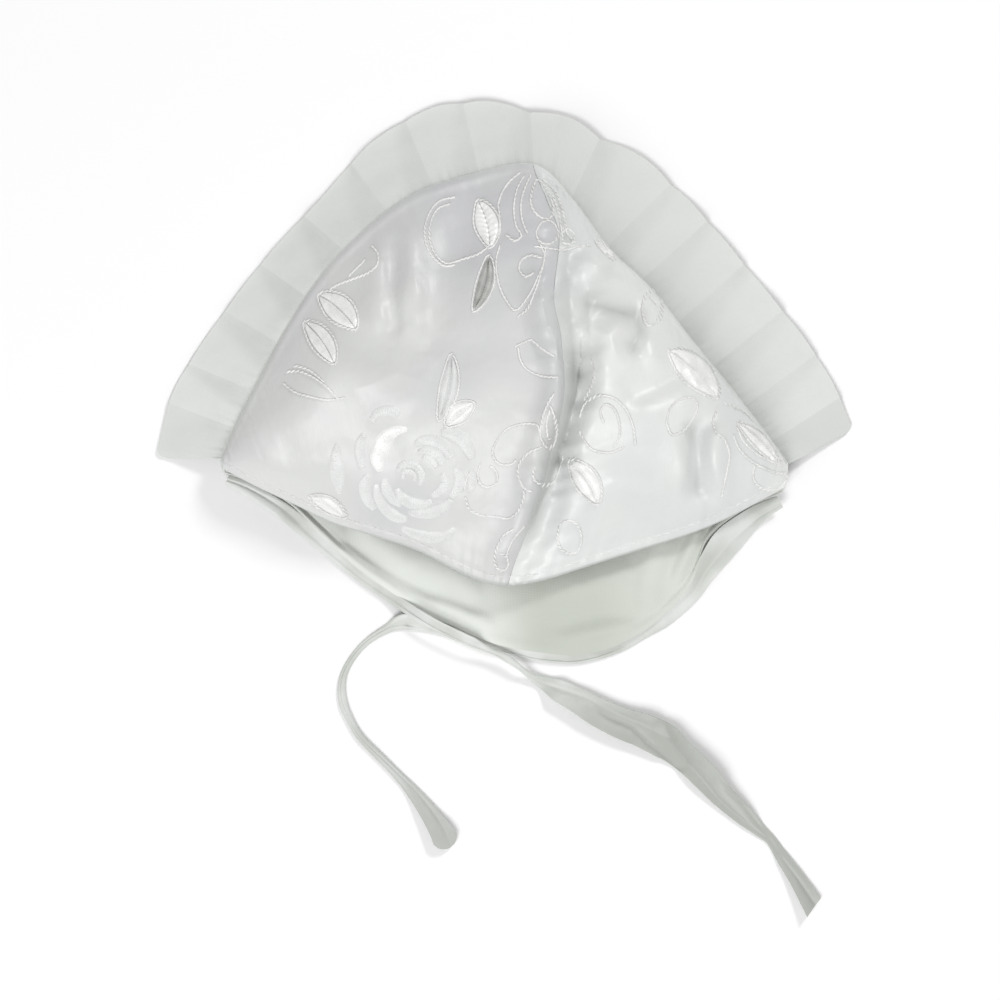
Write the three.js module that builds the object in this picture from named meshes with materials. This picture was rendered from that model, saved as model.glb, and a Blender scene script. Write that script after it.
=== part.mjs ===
// Baby bonnet laid flat on a surface: satin crown in two panels over a lined satin
// under layer, pleated brim in the arc seam, and two ribbon ties.
// Millimetres, +Z up, +X from the left corner of the mouth to the right one,
// +Y from the mouth to the top of the arc.
import * as THREE from "three";

// Sizes of the crown
const earWidth = 200; // between the two corners of the mouth
const arcRise = 110; // from the line between the corners up to the top of the arc
const hemDip = 37; // from that line down to the point of the upper hem
const lowerDip = 65; // from that line down to the lowest part of the under layer
const seamHeight = 15; // arc seam above the surface
const mouthGap = 9; // upper hem above the lining, at the middle of the mouth
const crownRise = 27; // how far the dome stands above its own edges
const foldRise = 8; // height of a full fold in the satin
const liningFold = 6; // height of a full fold in the lining
const foldSway = 1.6; // how far the folds wander to either side of their lines
const swayPitch = 47; // length of one such wave
const restShare = 0.35; // the under layer lies flat over this share of the way to its rim
const edgeRoll = 1.2; // under layer's lower edge lifts this far off the surface

// Walls and clearances
const satinWall = 1.2;
const liningWall = 1;
const brimWall = 1;
const hemExtra = 0.7; // the upper hem is turned over, so it is this much thicker
const hemDepth = 3.2;
const sewnGap = 0.3; // between pieces that are sewn together

// Brim
const brimWidth = 31; // flat width of the ruffle
const pleatRise = 1.3; // height of a full pleat at the outer edge
const pleatStep = 1.8; // run of the steep side of a pleat
const brimCorner = 4; // rounding of the two outer corners
const brimEdgeLift = 0.4; // underside of the outer edge above the surface

// Ties
const ribbonWidth = 12;
const ribbonWall = 1;
const ribbonBunch = 2.6; // extra height of the ribbon where it is bunched narrow

// Ribs of the bonnet from the left corner to the right one.
// hem is the upper layer's mouth edge, low is the under layer's, arc is the brim seam and
// out is the brim's outer edge. The x columns are shares of earWidth from its middle.
// hemY is a share of hemDip and lowY of lowerDip, both down from the ear line, and arcY is
// a share of arcRise, up from it. outX and outY are shares of brimWidth from the arc.
// lift is a share of seamHeight and open is a share of mouthGap.
const ribs = [
  { hemX: -0.492, hemY: -0.1, lowX: -0.491, lowY: -0.04, arcX: -0.497, arcY: 0.068, outX: -0.745, outY: 0.02, lift: 0.5, open: 0.03 },
  { hemX: -0.432, hemY: 0.07, lowX: -0.44, lowY: 0.01, arcX: -0.471, arcY: 0.178, outX: -0.745, outY: 0.305, lift: 0.62, open: 0.3 },
  { hemX: -0.369, hemY: 0.23, lowX: -0.38, lowY: 0.123, arcX: -0.436, arcY: 0.302, outX: -0.72, outY: 0.316, lift: 0.8, open: 0.5 },
  { hemX: -0.299, hemY: 0.41, lowX: -0.32, lowY: 0.3, arcX: -0.389, arcY: 0.458, outX: -0.587, outY: 0.384, lift: 0.95, open: 0.62 },
  { hemX: -0.229, hemY: 0.53, lowX: -0.255, lowY: 0.485, arcX: -0.331, arcY: 0.624, outX: -0.5, outY: 0.38, lift: 1, open: 0.74 },
  { hemX: -0.152, hemY: 0.67, lowX: -0.154, lowY: 0.695, arcX: -0.261, arcY: 0.767, outX: -0.43, outY: 0.43, lift: 1, open: 0.84 },
  { hemX: -0.084, hemY: 0.86, lowX: -0.0825, lowY: 0.8, arcX: -0.17, arcY: 0.897, outX: -0.373, outY: 0.655, lift: 1, open: 0.95 },
  { hemX: -0.037, hemY: 0.965, lowX: -0.014, lowY: 0.888, arcX: -0.068, arcY: 0.964, outX: -0.215, outY: 0.824, lift: 1, open: 1 },
  { hemX: 0.005, hemY: 1, lowX: 0.061, lowY: 0.93, arcX: 0.049, arcY: 1, outX: -0.03, outY: 0.61, lift: 1, open: 1 },
  { hemX: 0.07, hemY: 0.945, lowX: 0.1315, lowY: 0.945, arcX: 0.117, arcY: 0.891, outX: 0.316, outY: 0.7, lift: 0.96, open: 0.96 },
  { hemX: 0.149, hemY: 0.81, lowX: 0.2015, lowY: 0.885, arcX: 0.18, arcY: 0.738, outX: 0.72, outY: 0.72, lift: 0.88, open: 0.9 },
  { hemX: 0.236, hemY: 0.66, lowX: 0.2715, lowY: 0.75, arcX: 0.254, arcY: 0.611, outX: 0.734, outY: 0.666, lift: 0.76, open: 0.82 },
  { hemX: 0.324, hemY: 0.51, lowX: 0.3275, lowY: 0.554, arcX: 0.324, arcY: 0.452, outX: 0.756, outY: 0.666, lift: 0.66, open: 0.7 },
  { hemX: 0.39, hemY: 0.36, lowX: 0.355, lowY: 0.323, arcX: 0.39, arcY: 0.305, outX: 0.8, outY: 0.61, lift: 0.58, open: 0.5 },
  { hemX: 0.45, hemY: 0.19, lowX: 0.415, lowY: 0.168, arcX: 0.45, arcY: 0.165, outX: 0.79, outY: 0.553, lift: 0.53, open: 0.3 },
  { hemX: 0.491, hemY: 0.07, lowX: 0.485, lowY: 0.065, arcX: 0.496, arcY: 0.051, outX: 0.745, outY: 0.384, lift: 0.5, open: 0.03 },
];
const seamRib = 8; // row of the centre seam

// The centre seam bows to the right on its way from the hem to the arc.
// at is the share of that way, bow a share of earWidth.
const seamLine = [
  { at: 0, bow: 0 },
  { at: 0.2, bow: 0.044 },
  { at: 0.33, bow: 0.062 },
  { at: 0.45, bow: 0.077 },
  { at: 0.59, bow: 0.065 },
  { at: 0.68, bow: 0.049 },
  { at: 0.83, bow: 0.052 },
  { at: 0.92, bow: 0.025 },
  { at: 1, bow: 0 },
];

// Folds of the satin, each along a straight line: high above 0 is a soft ridge, below 0 a
// valley. The x columns and wide are shares of earWidth, the y columns of arcRise, and high
// of foldRise.
const crownFolds = [
  { fromX: 0.035, fromY: 0.98, toX: 0.07, toY: 0.57, wide: 0.03, high: 0.35 },
  { fromX: 0.07, fromY: 0.57, toX: 0.086, toY: 0.25, wide: 0.026, high: 0.6 },
  { fromX: 0.086, fromY: 0.25, toX: 0.065, toY: 0.06, wide: 0.026, high: 0.6 },
  { fromX: 0.065, fromY: 0.06, toX: -0.005, toY: -0.3, wide: 0.028, high: 0.5 },
  { fromX: 0.1, fromY: 0.78, toX: 0.114, toY: 0.62, wide: 0.026, high: -0.4 },
  { fromX: 0.114, fromY: 0.62, toX: 0.135, toY: 0.41, wide: 0.028, high: -0.75 },
  { fromX: 0.135, fromY: 0.41, toX: 0.122, toY: 0.25, wide: 0.028, high: -0.95 },
  { fromX: 0.122, fromY: 0.25, toX: 0.096, toY: 0.06, wide: 0.028, high: -1 },
  { fromX: 0.096, fromY: 0.06, toX: 0.03, toY: -0.26, wide: 0.026, high: -0.8 },
  { fromX: 0.2, fromY: 0.7, toX: 0.135, toY: 0.66, wide: 0.022, high: 0.4 },
  { fromX: 0.21, fromY: 0.63, toX: 0.15, toY: 0.59, wide: 0.018, high: -0.35 },
  { fromX: 0.2, fromY: 0.52, toX: 0.155, toY: 0.48, wide: 0.022, high: -0.4 },
  { fromX: 0.21, fromY: 0.45, toX: 0.165, toY: 0.36, wide: 0.034, high: 0.6 },
  { fromX: 0.242, fromY: 0.53, toX: 0.214, toY: 0.42, wide: 0.02, high: -0.4 },
  { fromX: 0.265, fromY: 0.56, toX: 0.25, toY: 0.4, wide: 0.024, high: 0.4 },
  { fromX: 0.29, fromY: 0.35, toX: 0.22, toY: 0.27, wide: 0.024, high: -0.35 },
  { fromX: 0.34, fromY: 0.16, toX: 0.33, toY: -0.02, wide: 0.022, high: -0.5 },
  { fromX: 0.376, fromY: 0.13, toX: 0.372, toY: -0.06, wide: 0.02, high: 0.35 },
  { fromX: 0.17, fromY: 0.1, toX: 0.29, toY: 0.05, wide: 0.035, high: -0.2 },
  { fromX: 0.17, fromY: -0.03, toX: 0.29, toY: 0.01, wide: 0.045, high: 0.25 },
  { fromX: -0.235, fromY: 0.78, toX: -0.21, toY: 0.52, wide: 0.026, high: 0.32 },
  { fromX: -0.2, fromY: 0.75, toX: -0.185, toY: 0.5, wide: 0.022, high: -0.28 },
  { fromX: -0.175, fromY: 0.8, toX: -0.15, toY: 0.5, wide: 0.028, high: 0.3 },
  { fromX: -0.06, fromY: 0.9, toX: -0.12, toY: 0.46, wide: 0.05, high: -0.45 },
  { fromX: -0.3, fromY: 0.33, toX: -0.17, toY: 0.27, wide: 0.045, high: 0.3 },
  { fromX: -0.36, fromY: 0.1, toX: -0.2, toY: 0.12, wide: 0.035, high: -0.22 },
];

// Folds of the lining where it shows in the mouth, in the same columns, with the y columns
// as shares of lowerDip and high as a share of liningFold.
const liningFolds = [
  { fromX: -0.28, fromY: -0.44, toX: -0.04, toY: -0.83, wide: 0.022, high: 0.5 },
  { fromX: -0.3, fromY: -0.27, toX: -0.13, toY: -0.62, wide: 0.02, high: -0.2 },
  { fromX: -0.25, fromY: -0.28, toX: -0.05, toY: -0.58, wide: 0.035, high: 0.5 },
  { fromX: 0.05, fromY: -0.92, toX: 0.21, toY: -0.86, wide: 0.026, high: 0.65 },
  { fromX: 0.0, fromY: -0.56, toX: 0.2, toY: -0.56, wide: 0.05, high: 0.5 },
  { fromX: 0.27, fromY: -0.32, toX: 0.25, toY: -0.62, wide: 0.03, high: 0.5 },
  { fromX: 0.33, fromY: -0.28, toX: 0.31, toY: -0.5, wide: 0.016, high: 0.35 },
];

// Pleats of the brim. at is the share of the way along the arc where the cloth steps down,
// always away from the centre seam. run is how far the pleat reaches back, a share of the
// same way. high is a share of pleatRise. swell is how far the outer edge bulges between
// this pleat and the next one, a share of brimWidth.
const pleats = [
  { at: 0.06, run: 0.065, high: 0.4, swell: 0 },
  { at: 0.125, run: 0.065, high: 0.6, swell: 0.01 },
  { at: 0.19, run: 0.06, high: 0.85, swell: 0.01 },
  { at: 0.25, run: 0.065, high: 0.65, swell: 0.01 },
  { at: 0.315, run: 0.06, high: 0.9, swell: 0.01 },
  { at: 0.375, run: 0.055, high: 1, swell: 0.02 },
  { at: 0.43, run: 0.05, high: 0.6, swell: 0.02 },
  { at: 0.48, run: 0.053, high: 0.75, swell: 0.07 },
  { at: 0.533, run: 0.05, high: 0.9, swell: 0.12 },
  { at: 0.6, run: 0.065, high: 1, swell: 0.08 },
  { at: 0.665, run: 0.065, high: 0.6, swell: 0.01 },
  { at: 0.72, run: 0.055, high: 0.8, swell: 0.01 },
  { at: 0.78, run: 0.06, high: 0.7, swell: 0.01 },
  { at: 0.84, run: 0.06, high: 0.8, swell: 0.01 },
  { at: 0.9, run: 0.06, high: 0.6, swell: 0 },
  { at: 0.955, run: 0.055, high: 0.4, swell: 0 },
];

// Routes of the ties, in millimetres from the middle of the ear line. z is the ribbon's
// middle above the surface. spread is the width it shows, a share of ribbonWidth: 1 is
// flat, less is bunched together.
const tieLeftRoute = [
  { x: -97.5, y: 0.1, z: 5.2, spread: 0.28 },
  { x: -89.8, y: -3.4, z: 3.6, spread: 0.38 },
  { x: -78.3, y: -10.9, z: 2.1, spread: 0.42 },
  { x: -66.1, y: -21.7, z: 1.8, spread: 0.33 },
  { x: -52.4, y: -33.3, z: 1.8, spread: 0.23 },
  { x: -42.4, y: -40.4, z: 2, spread: 0.22 },
  { x: -36.2, y: -44.6, z: 3.3, spread: 0.22 },
  { x: -30.5, y: -48.2, z: 5.4, spread: 0.22 },
  { x: -24, y: -51.8, z: 5.9, spread: 0.21 },
  { x: -14, y: -56.6, z: 5.9, spread: 0.2 },
  { x: -8.8, y: -58.6, z: 5.8, spread: 0.18 },
  { x: -3.5, y: -60.5, z: 5.6, spread: 0.18 },
  { x: 1, y: -62.8, z: 5.2, spread: 0.24 },
  { x: 5.2, y: -65.8, z: 4.8, spread: 0.18 },
  { x: 9.1, y: -68.9, z: 3, spread: 0.23 },
  { x: 14, y: -71.4, z: 1.9, spread: 0.41 },
  { x: 18.5, y: -73.7, z: 1.5, spread: 0.63 },
  { x: 22.8, y: -75.9, z: 1.35, spread: 0.68 },
  { x: 27.1, y: -78.2, z: 1.3, spread: 0.75 },
  { x: 33.2, y: -81.8, z: 1.2, spread: 0.83 },
  { x: 41.8, y: -85.7, z: 1.15, spread: 0.91 },
  { x: 48.6, y: -88, z: 1.1, spread: 0.98 },
  { x: 56, y: -91.7, z: 1.1, spread: 1 },
  { x: 60.7, y: -95.4, z: 1.2, spread: 0.83 },
  { x: 66.1, y: -100.1, z: 1.2, spread: 0.78 },
  { x: 71.8, y: -105.8, z: 1.2, spread: 0.77 },
  { x: 76.4, y: -111.1, z: 1.25, spread: 0.66 },
  { x: 83.6, y: -117.7, z: 1.4, spread: 0.56 },
  { x: 89.8, y: -123.2, z: 1.6, spread: 0.39 },
  { x: 93.6, y: -126.7, z: 1.8, spread: 0.31 },
  { x: 97.6, y: -132.8, z: 1.6, spread: 0.38 },
  { x: 103, y: -140.8, z: 1.4, spread: 0.49 },
  { x: 108.5, y: -150.1, z: 1.3, spread: 0.61 },
];
const tieRightRoute = [
  { x: 96.6, y: -7.7, z: 4.9, spread: 0.35 },
  { x: 88.2, y: -12.2, z: 3.2, spread: 0.55 },
  { x: 80.1, y: -19.6, z: 2, spread: 0.78 },
  { x: 74.9, y: -26.6, z: 1.8, spread: 0.67 },
  { x: 70.9, y: -32.5, z: 1.8, spread: 0.53 },
  { x: 66.7, y: -39.9, z: 1.8, spread: 0.38 },
  { x: 61.9, y: -45.1, z: 1.8, spread: 0.33 },
  { x: 57, y: -49.5, z: 1.9, spread: 0.27 },
  { x: 53.2, y: -52.1, z: 1.9, spread: 0.21 },
  { x: 49.5, y: -54.2, z: 1.9, spread: 0.19 },
  { x: 39.9, y: -59.5, z: 1.9, spread: 0.19 },
  { x: 26.2, y: -63.3, z: 1.9, spread: 0.19 },
  { x: 12.2, y: -62.5, z: 1.9, spread: 0.19 },
  { x: 5.2, y: -60.8, z: 1.9, spread: 0.18 },
  { x: -1.8, y: -59.2, z: 1.9, spread: 0.18 },
  { x: -10.5, y: -56.6, z: 1.9, spread: 0.18 },
  { x: -17.2, y: -54.3, z: 1.9, spread: 0.18 },
  { x: -25.2, y: -52.1, z: 1.9, spread: 0.22 },
  { x: -33.4, y: -50.6, z: 1.8, spread: 0.33 },
  { x: -38.1, y: -50.8, z: 1.8, spread: 0.33 },
  { x: -42.3, y: -52.7, z: 1.8, spread: 0.25 },
  { x: -48.1, y: -56.5, z: 1.9, spread: 0.2 },
  { x: -52.9, y: -61.6, z: 1.9, spread: 0.2 },
  { x: -56.3, y: -67.5, z: 1.9, spread: 0.21 },
  { x: -57.4, y: -73.1, z: 1.9, spread: 0.24 },
  { x: -56.7, y: -78.8, z: 1.9, spread: 0.26 },
  { x: -54.4, y: -84.3, z: 1.9, spread: 0.23 },
  { x: -50.8, y: -90.3, z: 1.9, spread: 0.23 },
  { x: -44.4, y: -96.9, z: 1.8, spread: 0.25 },
  { x: -37.8, y: -103.6, z: 1.8, spread: 0.27 },
  { x: -32.2, y: -109.8, z: 1.7, spread: 0.38 },
  { x: -26.9, y: -116.7, z: 1.5, spread: 0.52 },
  { x: -22.8, y: -122.8, z: 1.4, spread: 0.62 },
  { x: -19.6, y: -129.2, z: 1.3, spread: 0.72 },
];

// Mesh steps
const panelColumns = 20; // on each side of the centre seam
const panelRows = 20;
const seamCrowding = 1.35; // above 1 brings the columns together at the centre seam
const layerRows = 14; // of the under layer and the lining, closer together at the mouth
const brimRows = 4;
const brimColumnGap = 0.022; // widest step between two columns of the brim
const stepsPerTiePoint = 2;

const foldJoin = 5; // above 1: the higher, the less two folds add up where they meet

const lastRib = ribs.length - 1;
const seamAt = seamRib / lastRib;

function clamp(value, low, high) {
  return Math.min(high, Math.max(low, value));
}

function mix(from, to, share) {
  return from + (to - from) * share;
}

function fade(value) {
  const share = clamp(value, 0, 1);
  return share * share * (3 - 2 * share);
}

// A column of evenly spaced rows, read smoothly at a share of the table's length.
function readEven(rows, column, share) {
  const place = clamp(share, 0, 1) * (rows.length - 1);
  const index = Math.min(rows.length - 2, Math.floor(place));
  const step = place - index;
  const value = (i) => rows[clamp(i, 0, rows.length - 1)][column];
  const [before, start, end, after] = [index - 1, index, index + 1, index + 2].map(value);
  const bend = 2 * before - 5 * start + 4 * end - after;
  const twist = 3 * (start - end) + after - before;
  return start + 0.5 * step * (end - before + step * (bend + step * twist));
}

// A column of rows that say where they are with at, read smoothly.
function readAt(rows, column, at) {
  const index = clamp(rows.findIndex((row) => row.at > at) - 1, 0, rows.length - 2);
  const last = at >= rows[rows.length - 1].at;
  const row = last ? rows.length - 2 : index;
  const span = rows[row + 1].at - rows[row].at;
  return readEven(rows, column, (row + clamp((at - rows[row].at) / span, 0, 1)) / (rows.length - 1));
}

function arcPoint(u) {
  return new THREE.Vector2(readEven(ribs, "arcX", u) * earWidth, readEven(ribs, "arcY", u) * arcRise);
}

function hemPoint(u) {
  return new THREE.Vector2(readEven(ribs, "hemX", u) * earWidth, -readEven(ribs, "hemY", u) * hemDip);
}

function lowPoint(u) {
  return new THREE.Vector2(readEven(ribs, "lowX", u) * earWidth, -readEven(ribs, "lowY", u) * lowerDip);
}

function seamLift(u) {
  return readEven(ribs, "lift", u) * seamHeight;
}

// How far the middles of the walls lie below the satin's where all are sewn together
const liningDrop = satinWall / 2 + sewnGap + liningWall / 2;
const underDrop = liningDrop + liningWall / 2 + sewnGap + satinWall / 2;

// 0 at the middle of the ear line, 1 at either corner
function towardsCorner(u) {
  return Math.abs(2 * u - 1);
}

// Folds of a table at a place on the plan. Where folds meet they join without adding up.
function foldHeight(rows, x, y, riseY) {
  const sway = (place) => foldSway * Math.sin((2 * Math.PI * place) / swayPitch);
  const place = new THREE.Vector2(x + sway(y), y + sway(x));
  let ridge = 0;
  let valley = 0;
  for (const row of rows) {
    const from = new THREE.Vector2(row.fromX * earWidth, row.fromY * riseY);
    const along = new THREE.Vector2(row.toX * earWidth, row.toY * riseY).sub(from);
    const here = place.clone().sub(from);
    const share = clamp(here.dot(along) / along.lengthSq(), 0, 1);
    const away = here.sub(along.multiplyScalar(share)).length() / (row.wide * earWidth);
    const height = row.high * Math.exp(-away * away);
    ridge += Math.max(0, height) ** foldJoin;
    valley += Math.max(0, -height) ** foldJoin;
  }
  return ridge ** (1 / foldJoin) - valley ** (1 / foldJoin);
}

// Middle of the satin under layer: flat on the surface, rising to the arc seam like a bowl
function underMiddle(u, v) {
  const plan = lowPoint(u).lerp(arcPoint(u), v);
  const rise = (share) => clamp((share - restShare) / (1 - restShare), 0, 1);
  const bowl = 1 - (1 - rise(v) ** 3.2) * (1 - rise(towardsCorner(u)) ** 6);
  const rest = satinWall / 2 + edgeRoll * fade(1 - v / 0.08);
  return new THREE.Vector3(plan.x, plan.y, mix(rest, seamLift(u) - underDrop, bowl));
}

// Middle of the lining, which lies on the under layer and folds up from it
function liningMiddle(u, v) {
  const point = underMiddle(u, v);
  const loose = fade(v / 0.07) * fade((1 - v) / 0.3) * fade((1 - towardsCorner(u)) / 0.3);
  const fold = Math.max(0, foldHeight(liningFolds, point.x, point.y, lowerDip)) * liningFold;
  point.z += underDrop - liningDrop + fold * loose;
  return point;
}

// Middle of the satin crown: from the hem over the dome to the arc seam
function crownMiddle(u, v) {
  const plan = hemPoint(u).lerp(arcPoint(u), v);
  const nearSeam = u < seamAt ? u / seamAt : (1 - u) / (1 - seamAt);
  plan.x += readAt(seamLine, "bow", v) * earWidth * nearSeam ** 2;
  const hemZ = underMiddle(u, 0).z + underDrop + readEven(ribs, "open", u) * mouthGap;
  const past = clamp((v - 0.5) / 0.5, 0, 1);
  const profile = v < 0.5 ? Math.sin(Math.PI * v) : 1 - past ** 2.2;
  const across = (1 - towardsCorner(u) ** 2.4) ** 0.8;
  const loose = fade(0.25 + v / 0.12) * fade((1 - v) / 0.12) * fade((1 - towardsCorner(u)) / 0.25);
  const fold = foldHeight(crownFolds, plan.x, plan.y, arcRise) * foldRise * loose;
  const dome = mix(hemZ, seamLift(u), fade(v)) + crownRise * profile * across;
  return new THREE.Vector3(plan.x, plan.y, dome + fold);
}

// Height of the pleats at a share of the way along the arc, 0 to 1
function pleatHeight(u, step) {
  let height = 0;
  for (const pleat of pleats) {
    const inward = (pleat.at < seamAt ? u - pleat.at : pleat.at - u);
    const rise = inward < 0 ? 1 + inward / step : 1 - inward / pleat.run;
    height = Math.max(height, pleat.high * clamp(rise, 0, 1));
  }
  return height;
}

// How far the brim's outer edge swells between two pleats
function pleatSwell(u) {
  const index = pleats.findLastIndex((pleat) => pleat.at <= u);
  if (index < 0 || index === pleats.length - 1) return 0;
  const span = pleats[index + 1].at - pleats[index].at;
  return pleats[index].swell * Math.sin((Math.PI * (u - pleats[index].at)) / span);
}

function arcLength() {
  let length = 0;
  for (let i = 0; i < lastRib * 4; i += 1) {
    length += arcPoint(i / lastRib / 4).distanceTo(arcPoint((i + 1) / lastRib / 4));
  }
  return length;
}

const brimLength = arcLength();

// Middle of the brim: from the arc seam out and down to the surface
function brimMiddle(u, v) {
  const step = pleatStep / brimLength;
  const out = new THREE.Vector2(readEven(ribs, "outX", u), readEven(ribs, "outY", u));
  const fromEnd = Math.min(u, 1 - u) * brimLength;
  const corner = clamp(1 - fromEnd / brimCorner, 0, 1);
  const rounded = brimCorner * (1 - Math.sqrt(1 - corner * corner));
  const reach = out.length() * brimWidth * (1 + pleatSwell(u)) - rounded;
  const way = out.normalize();
  const plan = arcPoint(u).add(way.multiplyScalar(sewnGap + (reach - sewnGap) * v));
  const seamZ = seamLift(u) - underDrop / 2;
  const edgeZ = brimEdgeLift + brimWall / 2;
  const slope = mix(edgeZ, seamZ, (1 - v) ** 1.25);
  return new THREE.Vector3(plan.x, plan.y, slope + pleatHeight(u, step) * pleatRise * v ** 0.8);
}

// Upright depth of a wall, more where the cloth is steep so that the wall keeps its own depth
function uprightDepth(middle, u, v, wall) {
  const nudge = 0.002;
  const back = middle(clamp(u - nudge, 0, 1), v);
  const left = middle(u, clamp(v - nudge, 0, 1));
  const alongU = middle(clamp(u + nudge, 0, 1), v).sub(back);
  const alongV = middle(u, clamp(v + nudge, 0, 1)).sub(left);
  const normal = alongU.cross(alongV).normalize();
  return wall / Math.max(Math.abs(normal.z), 0.6);
}

function evenSteps(from, to, count) {
  return Array.from({ length: count + 1 }, (_, i) => mix(from, to, i / count));
}

// One closed wall over a grid of places. faces gives the two faces' points at a place.
function clothWall(columns, rows, faces) {
  const points = [];
  const across = rows.length;
  const layer = columns.length * across;
  const tops = [];
  for (const u of columns) {
    for (const v of rows) {
      const [bottom, top] = faces(u, v);
      points.push(bottom);
      tops.push(top);
    }
  }
  points.push(...tops);
  const index = [];
  const quad = (a, b, c, d) => index.push(a, b, c, a, c, d);
  for (let i = 0; i < columns.length - 1; i += 1) {
    for (let j = 0; j < across - 1; j += 1) {
      const [a, b] = [i * across + j, (i + 1) * across + j];
      quad(a, a + 1, b + 1, b);
      quad(a + layer, b + layer, b + layer + 1, a + layer + 1);
    }
    const [a, b] = [i * across, (i + 1) * across];
    quad(a, b, b + layer, a + layer);
    quad(b + across - 1, a + across - 1, a + across - 1 + layer, b + across - 1 + layer);
  }
  const end = (columns.length - 1) * across;
  for (let j = 0; j < across - 1; j += 1) {
    quad(j + 1, j, j + layer, j + 1 + layer);
    quad(end + j, end + j + 1, end + j + 1 + layer, end + j + layer);
  }
  return bodyFrom(points, index);
}

function bodyFrom(points, index) {
  const geometry = new THREE.BufferGeometry();
  geometry.setAttribute(
    "position",
    new THREE.Float32BufferAttribute(points.flatMap((p) => [p.x, p.y, p.z]), 3)
  );
  geometry.setIndex(index);
  return geometry;
}

// Columns of one side of the bonnet, closer together towards the centre seam
function panelSteps(from, to) {
  const near = (share) => (to > seamAt ? share ** seamCrowding : 1 - (1 - share) ** seamCrowding);
  return evenSteps(0, 1, panelColumns).map((share) => mix(from, to, near(share)));
}

function satinPanel(from, to, side) {
  const gap = (side * sewnGap) / 2;
  const columns = panelSteps(from, to);
  return clothWall(columns, evenSteps(0, 1, panelRows), (u, v) => {
    const bottom = crownMiddle(u, v);
    if (Math.abs(u - seamAt) < 1e-6) bottom.x += gap;
    bottom.z -= satinWall / 2;
    const turned = hemExtra * clamp(2 - (v * hemPoint(u).distanceTo(arcPoint(u))) / hemDepth, 0, 1);
    const top = bottom.clone();
    top.z += uprightDepth(crownMiddle, u, v, satinWall) + turned;
    return [bottom, top];
  });
}

function layerWall(middleOf, wall) {
  const rows = evenSteps(0, 1, layerRows).map((share) => share ** 1.3);
  const columns = [...panelSteps(0, seamAt), ...panelSteps(seamAt, 1).slice(1)];
  return clothWall(columns, rows, (u, v) => {
    const middle = middleOf(u, v);
    const bottom = middle.clone();
    bottom.z -= wall / 2;
    middle.z += wall / 2;
    return [bottom, middle];
  });
}

function brimColumns() {
  const step = pleatStep / brimLength;
  const corner = brimCorner / brimLength;
  const marks = [0, 0.15, 0.5, 1].flatMap((share) => [share * corner, 1 - share * corner]);
  for (const pleat of pleats) {
    marks.push(pleat.at, pleat.at + (pleat.at < seamAt ? -step : step));
  }
  marks.sort((a, b) => a - b);
  const columns = [marks[0]];
  for (let i = 1; i < marks.length; i += 1) {
    const count = Math.ceil((marks[i] - marks[i - 1]) / brimColumnGap);
    columns.push(...evenSteps(marks[i - 1], marks[i], count).slice(1));
  }
  return columns;
}

function brimWallBody() {
  return clothWall(brimColumns(), evenSteps(0, 1, brimRows), (u, v) => {
    const bottom = brimMiddle(u, v);
    bottom.z -= brimWall / 2;
    const top = bottom.clone();
    top.z += uprightDepth(brimMiddle, u, v, brimWall);
    return [bottom, top];
  });
}

// Section of a tie: across and up are shares of its half width and half height
const tieSection = [
  { across: 1, up: 0.35 },
  { across: 0.72, up: 1 },
  { across: -0.72, up: 1 },
  { across: -1, up: 0.35 },
  { across: -1, up: -0.35 },
  { across: -0.72, up: -1 },
  { across: 0.72, up: -1 },
  { across: 1, up: -0.35 },
];

function tieBody(route) {
  const steps = (route.length - 1) * stepsPerTiePoint;
  const middle = (share) =>
    new THREE.Vector3(...["x", "y", "z"].map((axis) => readEven(route, axis, share)));
  const points = [];
  for (let i = 0; i <= steps; i += 1) {
    const share = i / steps;
    const before = middle(clamp(share - 0.5 / steps, 0, 1));
    const way = middle(clamp(share + 0.5 / steps, 0, 1)).sub(before).setZ(0).normalize();
    const across = new THREE.Vector3(-way.y, way.x, 0);
    const spread = readEven(route, "spread", share);
    const high = ribbonWall + ribbonBunch * (1 - spread);
    for (const corner of tieSection) {
      const point = middle(share).addScaledVector(across, (corner.across * spread * ribbonWidth) / 2);
      point.z += (corner.up * high) / 2;
      points.push(point);
    }
  }
  const sides = tieSection.length;
  const index = [];
  for (let i = 0; i < steps; i += 1) {
    for (let k = 0; k < sides; k += 1) {
      const [a, b] = [i * sides + k, i * sides + ((k + 1) % sides)];
      index.push(a, b, b + sides, a, b + sides, a + sides);
    }
  }
  const end = steps * sides;
  for (let k = 1; k < sides - 1; k += 1) {
    index.push(0, k + 1, k);
    index.push(end, end + k, end + k + 1);
  }
  return bodyFrom(points, index);
}

const satin = { color: 0xe2e3e1, roughness: 0.38, metalness: 0 };
const underSatin = { color: 0xdcdddb, roughness: 0.42, metalness: 0 };
const liningCloth = { color: 0xd0d4cd, roughness: 0.85, metalness: 0 };
const brimCloth = { color: 0xd5d6d4, roughness: 0.8, metalness: 0 };
const ribbonSatin = { color: 0xd3d3d0, roughness: 0.45, metalness: 0 };

const pieces = [
  { name: "crown_left", geometry: satinPanel(0, seamAt, -1), finish: satin },
  { name: "crown_right", geometry: satinPanel(seamAt, 1, 1), finish: satin },
  {
    name: "crown_under",
    geometry: layerWall(underMiddle, satinWall),
    finish: underSatin,
  },
  {
    name: "lining",
    geometry: layerWall(liningMiddle, liningWall),
    finish: liningCloth,
  },
  { name: "brim", geometry: brimWallBody(), finish: brimCloth },
  { name: "tie_left", geometry: tieBody(tieLeftRoute), finish: ribbonSatin, cord: true },
  { name: "tie_right", geometry: tieBody(tieRightRoute), finish: ribbonSatin, cord: true },
];

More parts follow.
